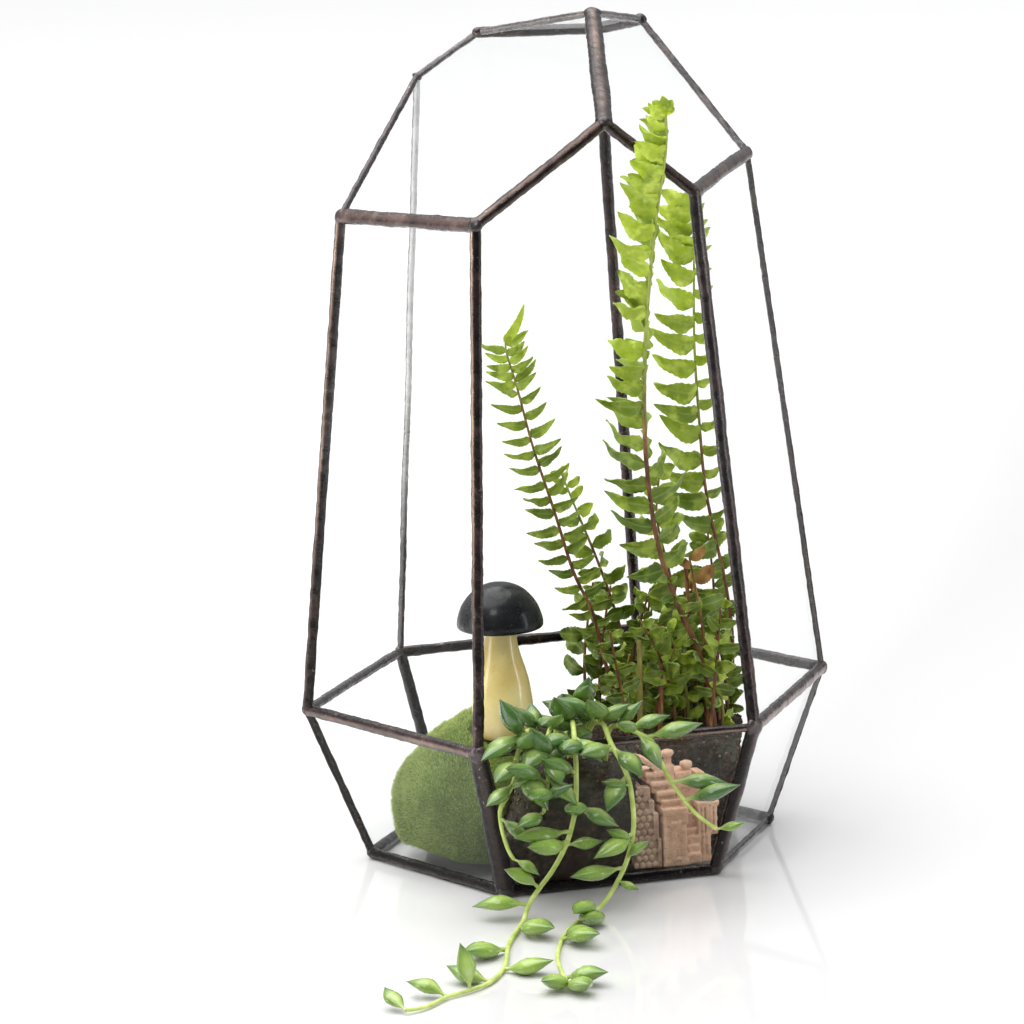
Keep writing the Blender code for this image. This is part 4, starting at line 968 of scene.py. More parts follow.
def build_steps():
    shell = Shell()
    for low, high in RUIN_BLOCKS:
        block(shell, low, high)
    # the upper steps, each with a tread that stands out
    for i in range(5):
        low = 17.0 + 2.9 * i
        x, y = 16.2 - 1.4 * i, -50.0 + 0.7 * i
        block(shell, (x + 0.3, y + 0.6, low), (x + 6.4, -37.2, low + 3.0))
        block(shell, (x, y, low + 2.2), (x + 6.6, -37.2, low + 3.7))
    # narrow ribs on the front of the right-hand blocks
    for i in range(5):
        left = 26.5 + 1.35 * i
        foot = 3.0 if left < 29.5 else 12.0
        block(shell, (left, -49.9 + 0.1 * i, foot), (left + 0.75, -48.4, 20.2))
    lathe(shell, PILLAR_AT, PILLAR_FORM, sides=20)
    for x, y, top in BOLLARDS:
        rows = [(1.9, 22.0)] + [(radius, top - drop) for radius, drop in BOLLARD_FORM]
        lathe(shell, (x, y), rows, sides=16)
    band = smooth_path(ARCH, step=1.2)
    rings = []
    for i, here in enumerate(band):
        way = (band[min(i + 1, len(band) - 1)] - band[max(i - 1, 0)]).normalized()
        up = Vector((-way.z, 0, way.x))
        rings.append([here + Vector((0, 2.2 * sy, 0)) + up * (0.9 * sz)
                      for sy, sz in ((-1, -1), (1, -1), (1, 1), (-1, 1))])
    shell.add(*loft(rings))
    sculpted(shell, "ruin_steps", voxel=0.34, rounds=2, rough=0.24, look=SANDSTONE, slot="sandstone",
             node="ruin_stairs")


def build_cobbles():
    shell = Shell()
    rings = []
    for level, x0, x1, y0 in COBBLED_WALL:
        rings.append([Vector((x0, y0 + 1.0, level)), Vector((x0 + 1.2, y0, level)),
                      Vector((x1 - 0.8, y0 - 0.3, level)), Vector((x1, y0 + 1.0, level)),
                      Vector((x1, RUIN_BACK, level)), Vector((x0, RUIN_BACK, level))])
    shell.add(*loft(rings))
    ridge = [Vector((x1 - 0.3, y0 - 0.1, level)) for level, _, x1, y0 in COBBLED_WALL]
    for a, b in zip(ridge, ridge[1:]):
        block(shell, (min(a.x, b.x) - 0.2, min(a.y, b.y) - 0.5, a.z), (max(a.x, b.x) + 0.5, -45.0, b.z))
    rng = Random(12)
    for row in range(12):
        z = 3.9 + COBBLE_SPACING[1] * row
        right = between([(level, x1) for level, _, x1, _ in COBBLED_WALL], z) - 1.4
        y = between([(level, y0) for level, _, _, y0 in COBBLED_WALL], z) + 0.1
        x = 5.7 + COBBLE_SPACING[0] / 2 * (row % 2)
        while x < right + 0.3:
            size = rng.uniform(0.94, 1.06)
            shell.add(*loft([[Vector((x + size * share * c, y + depth, z + size * 1.08 * share * s))
                              for c, s in circle(6, pi / 6)] for depth, share in COBBLE_FORM]))
            x += COBBLE_SPACING[0]
    sculpted(shell, "ruin_wall", voxel=0.28, rounds=1, rough=0.08, look=COBBLE, slot="cobble_stone",
             node="ruin_cobbles")


# Ferns

FRONDS = {
    # name: route from its foot in the soil to its tip, facing, bare stretch, pitch, lengths
    "fern_tall_front": (
        [(41.3, -21, 30), (41.5, -21.5, 41), (37.4, -22, 62), (31.4, -21, 77), (26.7, -19, 93),
         (23.5, -20, 109), (20, -26, 133), (17, -38, 163), (16, -47, 184), (15.5, -57.5, 207),
         (16.8, -64.5, 228), (15.8, -69, 241)],
        -16, 62, 7.0, (12.5, 14.5, 17, 11.5, 12, 14.5, 12.5, 7)),
    "fern_tall_right": (
        [(57, 8, 28), (57.5, 8, 40), (58.5, 9, 60), (56.5, 9, 78), (53, 8, 94), (50, 7, 110),
         (48, 5, 130), (46, 2, 157), (45, -3, 188), (43.6, -6.6, 207)],
        -10, 46, 7.4, (8, 12.5, 14.5, 15, 14.5, 13.5, 13, 9)),
    "fern_left": (
        [(18.5, 2, 29), (18, 2, 40), (13, 2, 59), (10, 2, 73), (4, 2, 87), (-2, 2, 108), (-8, 2, 128),
         (-12.5, 2, 147), (-15.5, 2, 158), (-16, 2, 162)],
        -22, 40, 5.0, (6.5, 9, 9.8, 9.8, 9.6, 9.0, 8.0)),
    "fern_left_back": (
        [(24, 14, 26), (24, 14, 39), (23, 14, 61), (20, 14, 74), (15, 14, 89), (10, 14, 102),
         (4, 14, 118)],
        -12, 34, 6.2, (6, 8, 8, 6, 3)),
    "fern_middle": (
        [(47, -2, 28), (46.5, -2, 38), (45, -2, 50), (42, -2, 60), (39, -2, 69), (36, -3, 77),
         (33.5, -3, 88), (31, -3, 99), (30.5, -3, 107), (32, -3, 119)],
        -14, 26, 6.6, (7, 9.5, 10, 9, 7, 4)),
    "fern_browned": (
        [(41.5, -15, 30), (41.5, -15, 41), (41, -15, 65), (39.5, -15, 78), (37, -15, 92)],
        -22, 30, 7.2, (7, 9, 8, 5)),
    "fern_short_left": (
        [(12, -25, 30), (12, -25, 40), (10, -26, 54), (8, -27, 64), (6, -29, 74)],
        -6, 16, 6.4, (6, 7, 6, 4)),
    "fern_young": (
        [(31, 24, 22), (31.5, 24, 35), (33, 23, 53), (34, 21, 64), (34.5, 19, 75)],
        -30, 18, 6.8, (7, 9, 8, 5)),
    "fern_right_back": (
        [(55, 22, 22), (56, 22, 35), (57, 22, 58), (56.5, 21, 76), (54.5, 20, 94)],
        -2, 22, 6.8, (7, 9, 9, 5)),
    "fern_right_edge": (
        [(38.5, -26, 28), (39, -26, 39), (40.5, -26, 51), (42, -26, 64), (43, -27, 77)],
        -8, 22, 6.8, (6, 8, 7, 4)),
    "fern_back": (
        [(42, 35, 19), (42.5, 35, 32), (44, 34, 50), (46, 33, 64), (48, 31, 76)],
        -12, 18, 7.0, (8, 10, 9, 5)),
    "fern_back_left": (
        [(14, 26, 21), (14, 26, 34), (14, 26, 52), (15, 25, 64), (17, 24, 78)],
        -26, 20, 7.0, (7, 9, 8, 4)),
}
# how green-yellow a frond is along its length
FROND_TONES = {"fern_tall_front": ((0.0, 0.20), (0.46, 0.42), (0.62, 0.85), (1.0, 1.0)),
               "fern_tall_right": ((0.0, 0.20), (0.45, 0.42), (0.70, 0.78), (1.0, 0.95)),
               "fern_left": ((0.0, 0.25), (0.85, 0.52), (1.0, 0.80)),
               "fern_left_back": ((0.0, 0.30), (0.7, 0.45), (1.0, 1.0)),
               "fern_middle": ((0.0, 0.3), (1.0, 0.6)), "fern_browned": ((0.0, 0.2), (1.0, 0.35))}
PLAIN_TONES = ((0.0, 0.15), (1.0, 0.45))
# what differs from a plain frond with blunt leaflets: how wide the leaflets are, how slim their ends
# along the frond, how long those on its far side and how thick its stalk; one curls, and one is dry
FROND_FORM = {
    "fern_tall_front": {"curled": True, "wide": 1.15, "thick": 1.35,
                        "slims": ((0.0, 0.9), (0.35, 0.9), (0.45, 0.0), (1.0, 0.0))},
    "fern_tall_right": {"wide": 1.2, "far": 0.45, "slims": ((0.0, 0.8), (0.5, 0.35), (1.0, 0.1))},
    "fern_left": {"wide": 0.84, "slims": ((0.0, 0.35), (1.0, 0.35))},
    "fern_browned": {"dry": True, "blunt": True}}
UPPER_EDGE = [(0.0, 0.42), (0.05, 0.98), (0.14, 1.16), (0.30, 1.0), (0.50, 0.86), (0.72, 0.66),
              (0.88, 0.40), (0.96, 0.20), (1.0, 0.02)]
LOWER_EDGE = [(0.0, 0.30), (0.06, 0.62), (0.16, 0.88), (0.34, 0.98), (0.56, 0.88), (0.76, 0.62),
              (0.90, 0.34), (0.97, 0.16), (1.0, 0.02)]
BLUNT_EDGE = [(0.0, 0.30), (0.08, 0.66), (0.22, 0.94), (0.45, 1.0), (0.68, 0.92), (0.84, 0.70),
              (0.95, 0.38), (1.0, 0.04)]
LEAF_ROWS = [i / 15.0 for i in range(16)]
LEAF_COLUMNS = (-1.0, -0.5, 0.0, 0.5, 1.0)
LEAF_HALF = 0.12
NOTCH = 0.10            # depth of the scallops along a leaflet's edge
STEM_LOOK = 1           # number of the stem's material in the pieces that have leaves
DRY_LOOK = 2
EVEN = ((0.0, 0.0), (1.0, 0.0))


def leaflet(shell, root, out, way, normal, length, width, tone, rng, look=0, blunt=False, wild=1.0,
            slim=0.0):
    """One closed leaflet: out is its own way, way that of the frond, normal its upper face."""
    bend = rng.uniform(-0.02, 0.20)
    droop = rng.uniform(-0.04, 0.24) * wild
    fold = rng.uniform(-0.05, 0.55)
    twist = rng.gauss(0.0, 0.42) * wild
    wave = rng.uniform(0, 6.28)
    swell = rng.uniform(0.10, 0.30)
    chance = rng.random()
    tone = tone + rng.uniform(-0.10, 0.10)
    tops = []
    marks = []
    for row, u in enumerate(LEAF_ROWS):
        middle = root + out * (length * u) + way * (bend * length * u * u) \
            + normal * (length * (0.12 * sin(pi * u) - droop * u * u))
        angle = twist * u
        across = way * cos(angle) + normal * sin(angle)
        over = normal * cos(angle) - way * sin(angle)
        for v in LEAF_COLUMNS:
            edge = BLUNT_EDGE if blunt else UPPER_EDGE if v > 0 else LOWER_EDGE
            half = width * between(edge, u) * (1.0 - 0.55 * slim * u)
            if row % 2 and abs(v) == 1.0:
                half *= 1.0 - NOTCH
            ripple = swell * width * sin(11.0 * u + wave + 0.6 * v) * v * v
            lift = fold * half * abs(v) ** 1.3 + ripple - 0.16 * width * (v == 0.0) * sin(pi * u)
            tops.append((middle + across * (half * v) + over * lift, over))
            marks.append((abs(v), u, tone, chance))
    points = [p + n * LEAF_HALF for p, n in tops] + [p - n * LEAF_HALF for p, n in tops]
    faces = leaf_faces(out.cross(way).dot(normal) < 0)
    shell.add(points, faces, marks + marks, look)


def leaf_faces(mirrored):
    """Faces of a leaflet: its upper grid, its lower one and the rim between them."""
    wide = len(LEAF_COLUMNS)
    count = wide * len(LEAF_ROWS)
    starts = range(0, count - wide, wide)
    faces = [(a, a + wide, a + wide + 1, a + 1) for low in starts for a in range(low, low + wide - 1)]
    rim = ([(i, i + 1) for i in range(wide - 1)]
           + [(low + wide - 1, low + 2 * wide - 1) for low in starts]
           + [(count - 1 - i, count - 2 - i) for i in range(wide - 1)]
           + [(low + wide, low) for low in reversed(starts)])
    faces += [tuple(count + i for i in reversed(face)) for face in faces]
    faces += [(a, b, count + b, count + a) for a, b in rim]
    return faces if mirrored else [tuple(reversed(face)) for face in faces]


class Line:
    """A smooth route that can be asked for the place and way at any distance."""

    def __init__(self, route):
        self.path = smooth_path(route, step=1.0)
        self.gone = [0.0]
        for a, b in zip(self.path, self.path[1:]):
            self.gone.append(self.gone[-1] + (b - a).length)
        self.total = self.gone[-1]

    def at(self, distance):
        i = 0
        last = len(self.path) - 1
        while i < last - 1 and self.gone[i + 1] < distance:
            i += 1
        t = (distance - self.gone[i]) / (self.gone[i + 1] - self.gone[i])
        here = self.path[i].lerp(self.path[i + 1], min(max(t, 0.0), 1.0))
        way = (self.path[min(i + 2, last)] - self.path[max(i - 1, 0)]).normalized()
        return here, way


def tube(shell, path, radius, sides, tone, seed):
    """A round stem along a path; radius and tone are asked for at each share of it."""
    last = len(path) - 1
    side = (path[1] - path[0]).orthogonal().normalized()
    rings = []
    marks = []
    for i, here in enumerate(path):
        way = (path[min(i + 1, last)] - path[max(i - 1, 0)]).normalized()
        side = (side - way * side.dot(way)).normalized()
        up = way.cross(side)
        size = radius(i / last) * (1.0 + 0.10 * noise(here * 0.6 + Vector((seed, 0, 0))))
        rings.append([inside_box(here + side * (size * c) + up * (size * s)) for c, s in circle(sides)])
        marks += [(0, 0, tone(i / last), 0)] * sides
    shell.add(*loft(rings), marks, STEM_LOOK)


def length_at(share, lengths):
    """Leaflet length at a share of the leafy stretch, between even steps of the list."""
    spot = min(max(share, 0.0), 1.0) * (len(lengths) - 1)
    low = min(int(spot), len(lengths) - 2)
    return lengths[low] + (lengths[low + 1] - lengths[low]) * (spot - low)


def grow(shell, route, heading, bare, pitch, lengths, tones, rng, curled=False, dry=False,
         low_leaves=True, wide=1.0, far=1.0, blunt=False, thick=1.0, slims=EVEN):
    """Stalk and leaflets of one frond, with small leaflets on its bare stretch."""
    line = Line(route)
    tube(shell, line.path, radius=lambda t: (0.72 - 0.40 * t) * thick, sides=7,
         tone=lambda t: between(tones, t), seed=bare)
    buried = (Vector(route[1]) - Vector(route[0])).length
    ahead = Vector((cos(radians(heading)), sin(radians(heading)), 0))

    def put(spot, side, length, width, lift, turn, **form):
        """One leaflet on a side of the stalk, lifted towards its tip and turned about it."""
        here, way = line.at(spot)
        spread = (ahead - way * ahead.dot(way)).normalized()
        normal = spread.cross(way)
        away = (spread * cos(turn) - normal * sin(turn)) * side
        away = away * cos(lift) + way * sin(lift)
        along = (way - away * way.dot(away)).normalized()
        face = away.cross(along).normalized() * side
        tone = between(tones, spot / line.total)
        leaflet(shell, here + away * 0.3, away, along, face, length, width, tone, rng, **form)

    spot = buried + 7.0
    while low_leaves and spot < bare:
        for side in (-1, 1):
            length = rng.uniform(3.2, 6.2)
            put(spot + rng.uniform(-1.5, 1.5), side, length, length * rng.uniform(0.24, 0.36),
                radians(rng.gauss(10, 26)), radians(rng.gauss(0, 55)), blunt=True, wild=1.6)
        spot += rng.uniform(4.6, 7.6)
    spot = bare
    while spot < line.total - 0.8:
        share = (spot - bare) / (line.total - bare)
        for side in (-1, 1):
            root = min(spot + (0.35 * pitch if side > 0 else 0.0) + rng.gauss(0, 0.3),
                       line.total - 0.3)
            length = length_at(share, lengths) * rng.uniform(0.86, 1.10) * (far if side > 0 else 1.0)
            turn = radians(rng.gauss(0, 30 if blunt else 12))
            if curled:
                turn = radians(-14 if side < 0 else -122) * min(1.0, 0.2 + 4.0 * max(0.0, share - 0.1))
                turn = -turn * side + radians(rng.gauss(0, 20))
            width = min(pitch * 0.42, length * 0.25) * wide * rng.uniform(0.90, 1.10)
            put(root, side, length, width * (1.2 if blunt else 1.0),
                radians(8.0 + 12.0 * share + rng.gauss(0, 12 if blunt else 5)), turn,
                look=DRY_LOOK if dry and share > 0.45 else 0, blunt=blunt,
                slim=0.0 if blunt else between(slims, share))
        spot += pitch * rng.uniform(0.92, 1.08) * (1.0 if share < 0.78 else 0.6)


def young_tip(shell, tip, seed):
    """The fan of small leaflets round the end of the tallest frond, which faces the open side."""
    toward = Vector((-0.27, -0.94, 0.2)).normalized()
    right = Vector((0.96, -0.28, 0.0)).normalized()
    for turn, length in ((-80, 5.2), (-48, 6.0), (-14, 5.6), (22, 4.8), (58, 3.6)):
        out = (right * sin(radians(turn)) + toward.cross(right) * -cos(radians(turn))).normalized()
        out.z = abs(out.z)
        leaflet(shell, tip - out * 0.8, out, out.cross(toward), toward, length, 1.7, 0.95,
                Random(seed + turn), blunt=True, wild=0.6)


def build_frond(name, seed):
    route, heading, bare, pitch, lengths = FRONDS[name]
    shell = Shell()
    grow(shell, route, heading, bare, pitch, lengths, FROND_TONES.get(name, PLAIN_TONES),
         Random(seed), **FROND_FORM.get(name, {"blunt": True}))
    tip = Vector(route[-1])
    if name == "fern_left":
        leaflet(shell, tip, Vector((0.56, 0.0, 0.83)), Vector((-0.83, 0.0, 0.56)), Vector((0, -1, 0)),
                13.5, 1.7, 0.8, Random(seed + 500), slim=0.3, wild=0.3)
    if name == "fern_tall_front":
        young_tip(shell, tip, seed + 600)
    shell.build(name + "_frond", [LEAF, RACHIS, DRY], "fern_leaf", [name], sharp=75)


# where young growth stands, and longer stalks without leaflets among it
SPROUTS = [(16, -6), (22, 5), (28, -9), (33, 6), (37, -6), (44, 7), (51, -8), (53, -1), (26, 17),
           (34, 13), (47, 16), (19, 13), (13, 8), (30, -19), (45, -21), (51, 13), (25, -4), (40, 0),
           (36, -14), (24, -16), (43, -9), (15, 20), (38, 24), (30, 1)]
STALKS = [
    # route, radius, how green
    ([(24, -20.5, 33), (24.1, -21.5, 44), (25, -20, 56), (26.7, -17, 68)], 1.0, 0.2),
    ([(17.5, -20.5, 34), (17.5, -21, 44), (18.0, -20.5, 56), (18.3, -19.5, 68)], 1.05, 0.62),
    ([(38.6, -12, 34), (38.8, -12, 52), (37.6, -12, 72), (36.6, -11.5, 91)], 0.85, 0.35),
    ([(31, -8, 34), (31, -8, 50), (29.5, -8, 70)], 0.9, 0.15),
    ([(47, -10, 34), (47.4, -9, 55), (49, -8, 78)], 0.75, 0.25)]


def build_sprouts():
    """Young growth round the feet of the fronds, which hides most of their stalks."""
    rng = Random(301)
    shell = Shell()
    for x, y in SPROUTS:
        tall = rng.uniform(12, 44)
        lean_x, lean_y = rng.gauss(0, 0.20), rng.gauss(-0.05, 0.14)
        if x > 40:
            lean_x = -0.6 * abs(lean_x)
        foot = 22.0 if y > 15 else 30.0
        route = [(x, y, foot), (x, y, foot + 7)]
        route += [(x + lean_x * tall * t * t, y + lean_y * tall * t * t, foot + 7 + tall * t)
                  for t in (0.35, 0.7, 1.0)]
        sizes = [rng.uniform(4.5, 7.0), rng.uniform(6.0, 8.5), rng.uniform(3.5, 5.0)]
        tone = rng.choice((0.1, 0.2, 0.3, 0.55))
        grow(shell, route, rng.uniform(-60, 40), 9.0, 5.8, sizes, ((0.0, tone), (1.0, tone + 0.3)),
             rng, low_leaves=False, wide=1.1, blunt=True)
    for route, width, tone in STALKS:
        tube(shell, smooth_path(route, step=1.5), radius=lambda t: width * (1.0 - 0.25 * t), sides=8,
             tone=lambda t: tone, seed=width)
    shell.build("fern_sprouts", [LEAF, RACHIS, DRY], "fern_leaf", sharp=75)


# Trailing plant

FLOOR_STEM = 1.05       # height of a stem's middle where it lies on the floor
STRANDS = {
    # name: route of the stem from its root, then its leaves, each as the place on a stem that it
    # grows from, its tip and, where it is narrow, its width
    "trail_long": (
        [(-15.5, -52, 33), (-15.5, -53.5, 44), (-17, -61, 54.5), (-19.5, -71, 56), (-21, -77, 52),
         (-21.5, -79.5, 45), (-22, -80, 35), (-23, -80, 29), (-25.5, -80, 21.5), (-30, -80, 14),
         (-34.5, -80.5, 9), (-38.5, -82, 4.5), (-42, -88, 1.6), (-47, -97, FLOOR_STEM),
         (-54, -112, FLOOR_STEM), (-61, -132, FLOOR_STEM), (-69, -145, FLOOR_STEM),
         (-77, -151, FLOOR_STEM), (-85, -155, FLOOR_STEM), (-93, -162, FLOOR_STEM), (-100, -165, 1.5)],
        [((-21, -77, 52), (-28, -89, 53.5)), ((-21.6, -79.6, 43.5), (-34.5, -88, 51)),
         ((-22, -80, 33), (-10.5, -86, 27)), ((-22.2, -80, 33.5), (-27, -93, 35)),
         ((-25.5, -80, 21.5), (-14.1, -82, 21.9)), ((-25, -80, 22.5), (-41.5, -93, 25.5)),
         ((-34.5, -80.5, 9), (-46.5, -84, 17)), ((-38.5, -82, 4.5), (-55, -77, 4.4)),
         ((-45, -93.5, 1.2), (-39, -111, 5.0)), ((-55, -115, 1.1), (-71, -124, 4.8)),
         ((-62, -134, 1.1), (-49, -143, 4.8)), ((-77, -151, 1.1), (-79, -149, 15), 5.4),
         ((-85, -155, 1.1), (-95, -147, 4.6)), ((-69, -145, 1.1), (-80, -137, 5)),
         ((-100, -165, 1.5), (-103, -153, 5.5), 5.2), ((-21, -77, 52), (-33.3, -86, 55)),
         ((-24, -80, 25.5), (-44.8, -90, 28)), ((-16.5, -59, 52.5), (-25, -68, 58)),
         ((-20.6, -75.5, 53.5), (-14.5, -84, 47))]),
    "trail_middle": (
        [(-10.5, -52, 33), (-10.5, -53.5, 44), (-10.5, -61, 53), (-10, -71, 55.5), (-9.5, -76.5, 51),
         (-7, -79, 45), (-5, -80, 39), (-4, -80, 31), (-4, -80, 25), (-5, -80, 19), (-7.5, -80.5, 12.5),
         (-12, -82, 6), (-17, -85, 2.2), (-24, -91, FLOOR_STEM), (-31, -100, FLOOR_STEM),
         (-37, -111, FLOOR_STEM), (-43.5, -128, FLOOR_STEM), (-47, -144, FLOOR_STEM), (-49, -157, 1.5)],
        [((-10.2, -69, 55.4), (-16.5, -77, 65)), ((-10.4, -64, 54.4), (-23.8, -66, 63.9)),
         ((-9.4, -76.6, 50.5), (-18.5, -82, 49.5)), ((-5.5, -79.7, 41), (-14.1, -86, 32)),
         ((-4.2, -80, 23), (-19, -86.5, 18)), ((-7.5, -80.5, 12.5), (-27, -88, 13.5)),
         ((-6.5, -80.3, 15), (0, -84, 21)), ((-10, -81.2, 9), (-4.6, -86, 6.5)),
         ((-20, -87.5, 1.6), (-27, -106, 5)), ((-33, -103.5, 1.1), (-31, -118, 4.8)),
         ((-48, -150, 1.2), (-38, -161, 4.8)), ((-49, -157, 1.5), (-47, -171.3, 4.8)),
         ((-48.6, -154, 1.3), (-59, -163, 5)), ((-9.4, -77.5, 49), (-22.5, -88, 51)),
         ((-5, -80, 38), (-15, -84, 41)), ((-4.5, -80, 20), (-14, -84, 26)),
         ((-19, -87, 2.2), (-31, -104, 6.5), 6.5), ((-37, -111, 1.2), (-29, -124, 5.5)),
         ((-10.5, -58, 50), (-19.5, -72, 52)), ((-10.2, -66, 55), (-2.5, -75, 62)),
         ((-8.5, -77.5, 49), (-3.5, -88, 42))]),
    "trail_right": (
        [(-4, -52, 33), (-4, -53.5, 43), (-5, -61, 51), (-5.5, -71, 54.5), (-4, -76.5, 54.5),
         (-1, -79, 53.5), (2.5, -80, 51), (4.5, -80.5, 46), (7, -81, 40), (11, -82, 33),
         (14.5, -86, 28), (19.7, -88, 23.6)],
        [((-4, -76.5, 54.5), (9, -79, 58.2)), ((1, -79.6, 52.3), (17.7, -84, 56)),
         ((-1.5, -78.7, 53.6), (4, -84.5, 42.7)), ((8, -81.3, 38), (25.2, -84, 36.5)),
         ((11.5, -82.4, 32), (27.4, -89.5, 37)), ((19.7, -88, 23.6), (28.2, -91, 25.6)),
         ((-5.5, -68, 53.5), (2.5, -72, 62)), ((-2.5, -78, 54), (-9.5, -86, 59))]),
    "trail_left": (
        [(-21.5, -58, 33), (-22.5, -59, 43), (-27, -62.5, 51.5), (-34, -70.5, 55.5), (-39, -76.5, 50),
         (-41, -79, 43), (-44, -80, 38), (-46, -80, 34), (-45.5, -80, 28), (-44, -80.5, 22),
         (-42.5, -81.5, 19)],
        [((-35, -72, 55.3), (-52.3, -83, 51)), ((-35, -72, 55.3), (-44, -76, 67.5)),
         ((-31, -67.2, 54), (-29.7, -61, 62)), ((-46, -80, 32), (-38, -86, 25)),
         ((-42.5, -81.5, 19), (-36, -86, 14.5)), ((-40.2, -78, 46), (-33.4, -89, 35)),
         ((-29, -65, 53), (-37.5, -66, 62.5)), ((-36.5, -74, 53.5), (-43.7, -76, 67.8)),
         ((-38, -76, 51), (-36.9, -86, 59.1)), ((-43, -79.6, 40), (-36, -86, 45.5)),
         ((-41.5, -79.2, 42), (-51.5, -84, 37)), ((-39.5, -77, 48.5), (-49, -86, 44.5))]),
    "shoot_spill": (
        [(-19.5, -49, 34), (-19.5, -50, 44), (-21.5, -60, 54), (-26.5, -70.5, 56), (-30, -77, 52),
         (-30.5, -80.5, 46), (-31.5, -82, 40), (-33, -82.5, 33)],
        [((-30.4, -79.5, 48), (-37, -84, 60)), ((-31.3, -81.7, 41.5), (-47.1, -91, 50)),
         ((-31.8, -82.2, 38.5), (-38.3, -95, 41)), ((-33, -82.5, 33), (-43.5, -89, 31)),
         ((-27.5, -72.5, 55.3), (-25.5, -80, 62)), ((-28.5, -75, 54), (-20.5, -84, 50)),
         ((-31, -81, 43), (-24.5, -90, 36)), ((-22.5, -62.5, 54.5), (-30, -73, 57.5)),
         ((-32.2, -82.3, 36.5), (-26, -91, 43)), ((-29, -76, 53), (-40, -86, 47.5)),
         ((-30.3, -79, 49), (-29.5, -90, 43))]),
    "shoot_top": (
        [(-14, -44, 32), (-14, -45, 43), (-14, -50, 52), (-13.5, -55, 58.5)],
        [((-13.5, -55, 58.5), (-12.5, -65, 66.5)), ((-14, -51.2, 54), (-24, -53, 60)),
         ((-14.5, -50, 52), (-6, -44, 59)), ((-14, -47.5, 47.5), (-20, -37, 52)),
         ((-17, -62, 53.5), (-25, -70, 65.2)), ((-12.5, -60, 52), (-13.3, -70, 62.5)),
         ((-11.5, -56, 56), (-10.7, -60, 68)), ((-13.7, -53, 56), (-20, -62, 64)),
         ((-14, -49, 50), (-4.5, -56, 55)), ((-20, -66, 52), (-30, -75, 44)),
         ((-14, -50.5, 53), (-17.5, -63, 56.5))]),
}
LEAF_FORM = [(0.0, 0.16), (0.08, 0.15), (0.15, 0.22), (0.25, 0.52), (0.36, 0.82), (0.48, 1.0),
             (0.60, 0.94), (0.73, 0.70), (0.85, 0.40), (0.93, 0.18), (0.975, 0.07), (1.0, 0.02)]
PLUMP_ROWS = 22
PLUMP_SIDES = 14


def plump_leaf(shell, base, tip, rng, widest=8.4):
    """An almond-shaped leaf on a short neck, thick in the middle, with a sharp end."""
    start, end = Vector(base), Vector(tip)
    way = (end - start).normalized()
    length = (end - start).length
    side = way.cross(Vector((0, 0, 1)))
    if side.length < 0.35:
        side = Vector((1, 0, 0)) - way * way.x
    side.normalize()
    up = side.cross(way)
    if up.z < 0:
        up, side = -up, -side
    half = min(widest, length * 0.55) / 2 * rng.uniform(0.94, 1.10)
    arch = rng.uniform(-0.03, 0.08) * length
    sway = rng.uniform(-0.06, 0.06) * length
    chance = rng.uniform(0.05, 0.45) if start.z > 30.0 else rng.uniform(0.50, 1.0)
    rings = []
    marks = []
    for row in range(PLUMP_ROWS):
        u = row / (PLUMP_ROWS - 1)
        size = half * between(LEAF_FORM, u)
        centre = start + way * (length * u) + (up * arch + side * sway) * sin(pi * u)
        thick = 0.9 if u < 0.12 else 0.55
        ring = []
        for c, s in circle(PLUMP_SIDES):
            keel = 1.0 + 0.10 * max(0.0, -s) ** 2
            ring.append(inside_box(centre + side * (size * c) + up * (size * thick * s * keel)))
            marks.append((max(0.0, s) ** 5, u, chance, max(0.0, (u - 0.965) * 28.0)))
        rings.append(ring)
    shell.add(*loft(rings), marks)


def build_strand(name, seed):
    route, leaves = STRANDS[name]
    rng = Random(seed)
    shell = Shell()
    tube(shell, smooth_path(route, step=1.2), radius=lambda t: 0.86 - 0.26 * t, sides=10,
         tone=lambda t: t, seed=seed)
    for base, tip, *widest in leaves:
        plump_leaf(shell, base, tip, rng, *widest)
    shell.build(name + "_leafy", [PLUMP, VINE], "succulent_leaf", [name], sharp=80)


# Floor, light and camera, with their lengths in metres

PHOTO_SIDE = 1024       # width and height of the photo in pixels
FOCAL = 5673            # its focal length and the place that it looks at, in the same pixels
PHOTO_MIDDLE = (523.9, 511.3)


def add_thing(name, data):
    """A light, a camera or the floor, put in the scene beside the part."""
    thing = bpy.data.objects.new(name, data)
    bpy.context.scene.collection.objects.link(thing)
    return thing


def build_stage():
    mesh = bpy.data.meshes.new("floor")
    edge = 40.0
    mesh.from_pydata([(-edge, -edge, 0), (edge, -edge, 0), (edge, edge, 0), (-edge, edge, 0)], [],
                     [(0, 1, 2, 3)])
    mesh.materials.append(FLOOR)
    floor = add_thing("floor", mesh)


def soft_light(name, spot, size, power, colour=(1.0, 1.0, 1.0), aim=(0, 0, 0.15)):
    data = bpy.data.lights.new(name, "AREA")
    data.shape = "RECTANGLE"
    data.size, data.size_y = size
    data.energy = power
    data.color = colour
    lamp = add_thing(name, data)
    lamp.location = spot
    lamp.rotation_mode = "QUATERNION"
    lamp.rotation_quaternion = (Vector(aim) - Vector(spot)).to_track_quat("-Z", "Y")


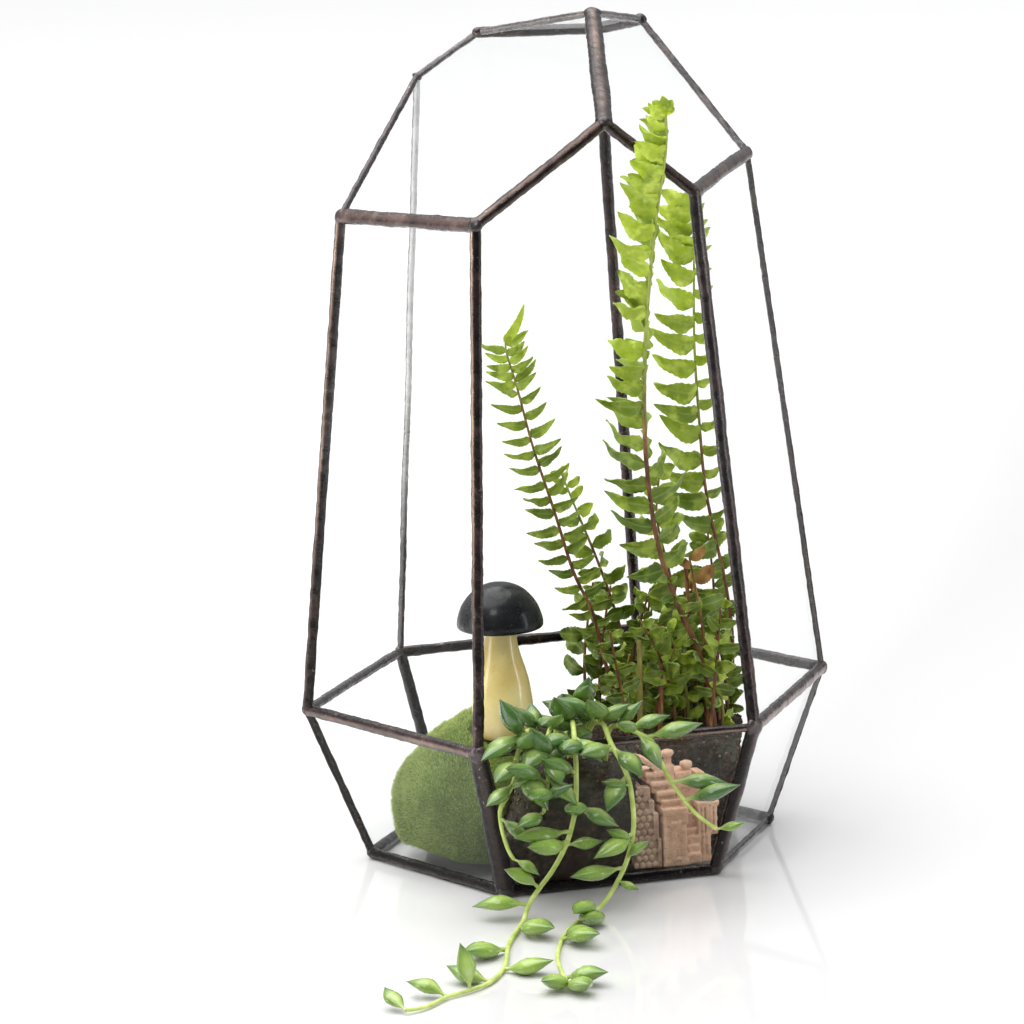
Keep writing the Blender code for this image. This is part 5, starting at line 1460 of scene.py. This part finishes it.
def build_light():
    """A pale room, dark in front where only mirrors see it, with soft boxes round the case."""
    world = bpy.data.worlds.new("studio")
    bpy.context.scene.world = world
    world.use_nodes = True
    room = Nodes(world.node_tree)
    way = room.new("SeparateXYZ", room.new("TexCoord").outputs["Generated"]).outputs
    rays = room.new("LightPath").outputs
    wall = room.ramp(way["Z"], (0.05, (0.34, 0.34, 0.35)), (0.85, (0.95, 0.95, 0.96)))
    front = room.new("MapRange", way["Y"], From_Min=-0.35, From_Max=0.25, To_Min=1.0, To_Max=0.0)
    dark = room.times(front.outputs["Result"], rays["Is Glossy Ray"])
    colour = room.over(wall, (dark, (0.10, 0.10, 0.105)), (rays["Is Camera Ray"], (1.05, 1.05, 1.05)))
    room.fill(world.node_tree.nodes["Background"], Color=colour)
    soft_light("key", (-0.75, -0.95, 1.25), (0.5, 0.5), 5.0, aim=(0, 0, 0.1))
    soft_light("left_box", (-1.7, 0.1, 0.42), (0.45, 0.8), 6.0, (1.0, 0.94, 0.86))
    soft_light("right_box", (1.5, -0.9, 0.42), (0.25, 0.8), 4.0)
    sky = bpy.data.lights.new("overhead", "SUN")
    sky.energy = 3.0
    sky.angle = radians(70)
    add_thing("overhead", sky).rotation_euler = (radians(-12), radians(-8), 0)


def build_camera():
    """The photo's view, fitted to the corners of the case."""
    heading, height, roll = radians(16.22), radians(11.65), radians(-1.82)
    ahead = Vector((sin(heading) * cos(height), cos(heading) * cos(height), -sin(height)))
    flat = ahead.cross(Vector((0, 0, 1))).normalized()
    above = flat.cross(ahead)
    right = flat * cos(roll) + above * sin(roll)
    up = above * cos(roll) - flat * sin(roll)
    data = bpy.data.cameras.new("camera")
    data.lens = data.sensor_width * FOCAL / PHOTO_SIDE
    data.shift_x = (PHOTO_SIDE / 2 - PHOTO_MIDDLE[0]) / PHOTO_SIDE
    data.shift_y = (PHOTO_MIDDLE[1] - PHOTO_SIDE / 2) / PHOTO_SIDE
    data.clip_end = 200.0
    camera = add_thing("camera", data)
    camera.matrix_world = Matrix.Translation((-0.4991, -1.6736, 0.4677)) \
        @ Matrix((right, up, -ahead)).transposed().to_4x4()
    bpy.context.scene.camera = camera


build_stage()
build_light()
build_camera()
bpy.context.scene.view_settings.view_transform = "Standard"
build_panes()
build_solder()
build_soil()
build_moss()
build_mushroom()
build_steps()
build_cobbles()
for number, frond in enumerate(FRONDS):
    build_frond(frond, 40 + number)
build_sprouts()
for number, strand in enumerate(STRANDS):
    build_strand(strand, 70 + number)
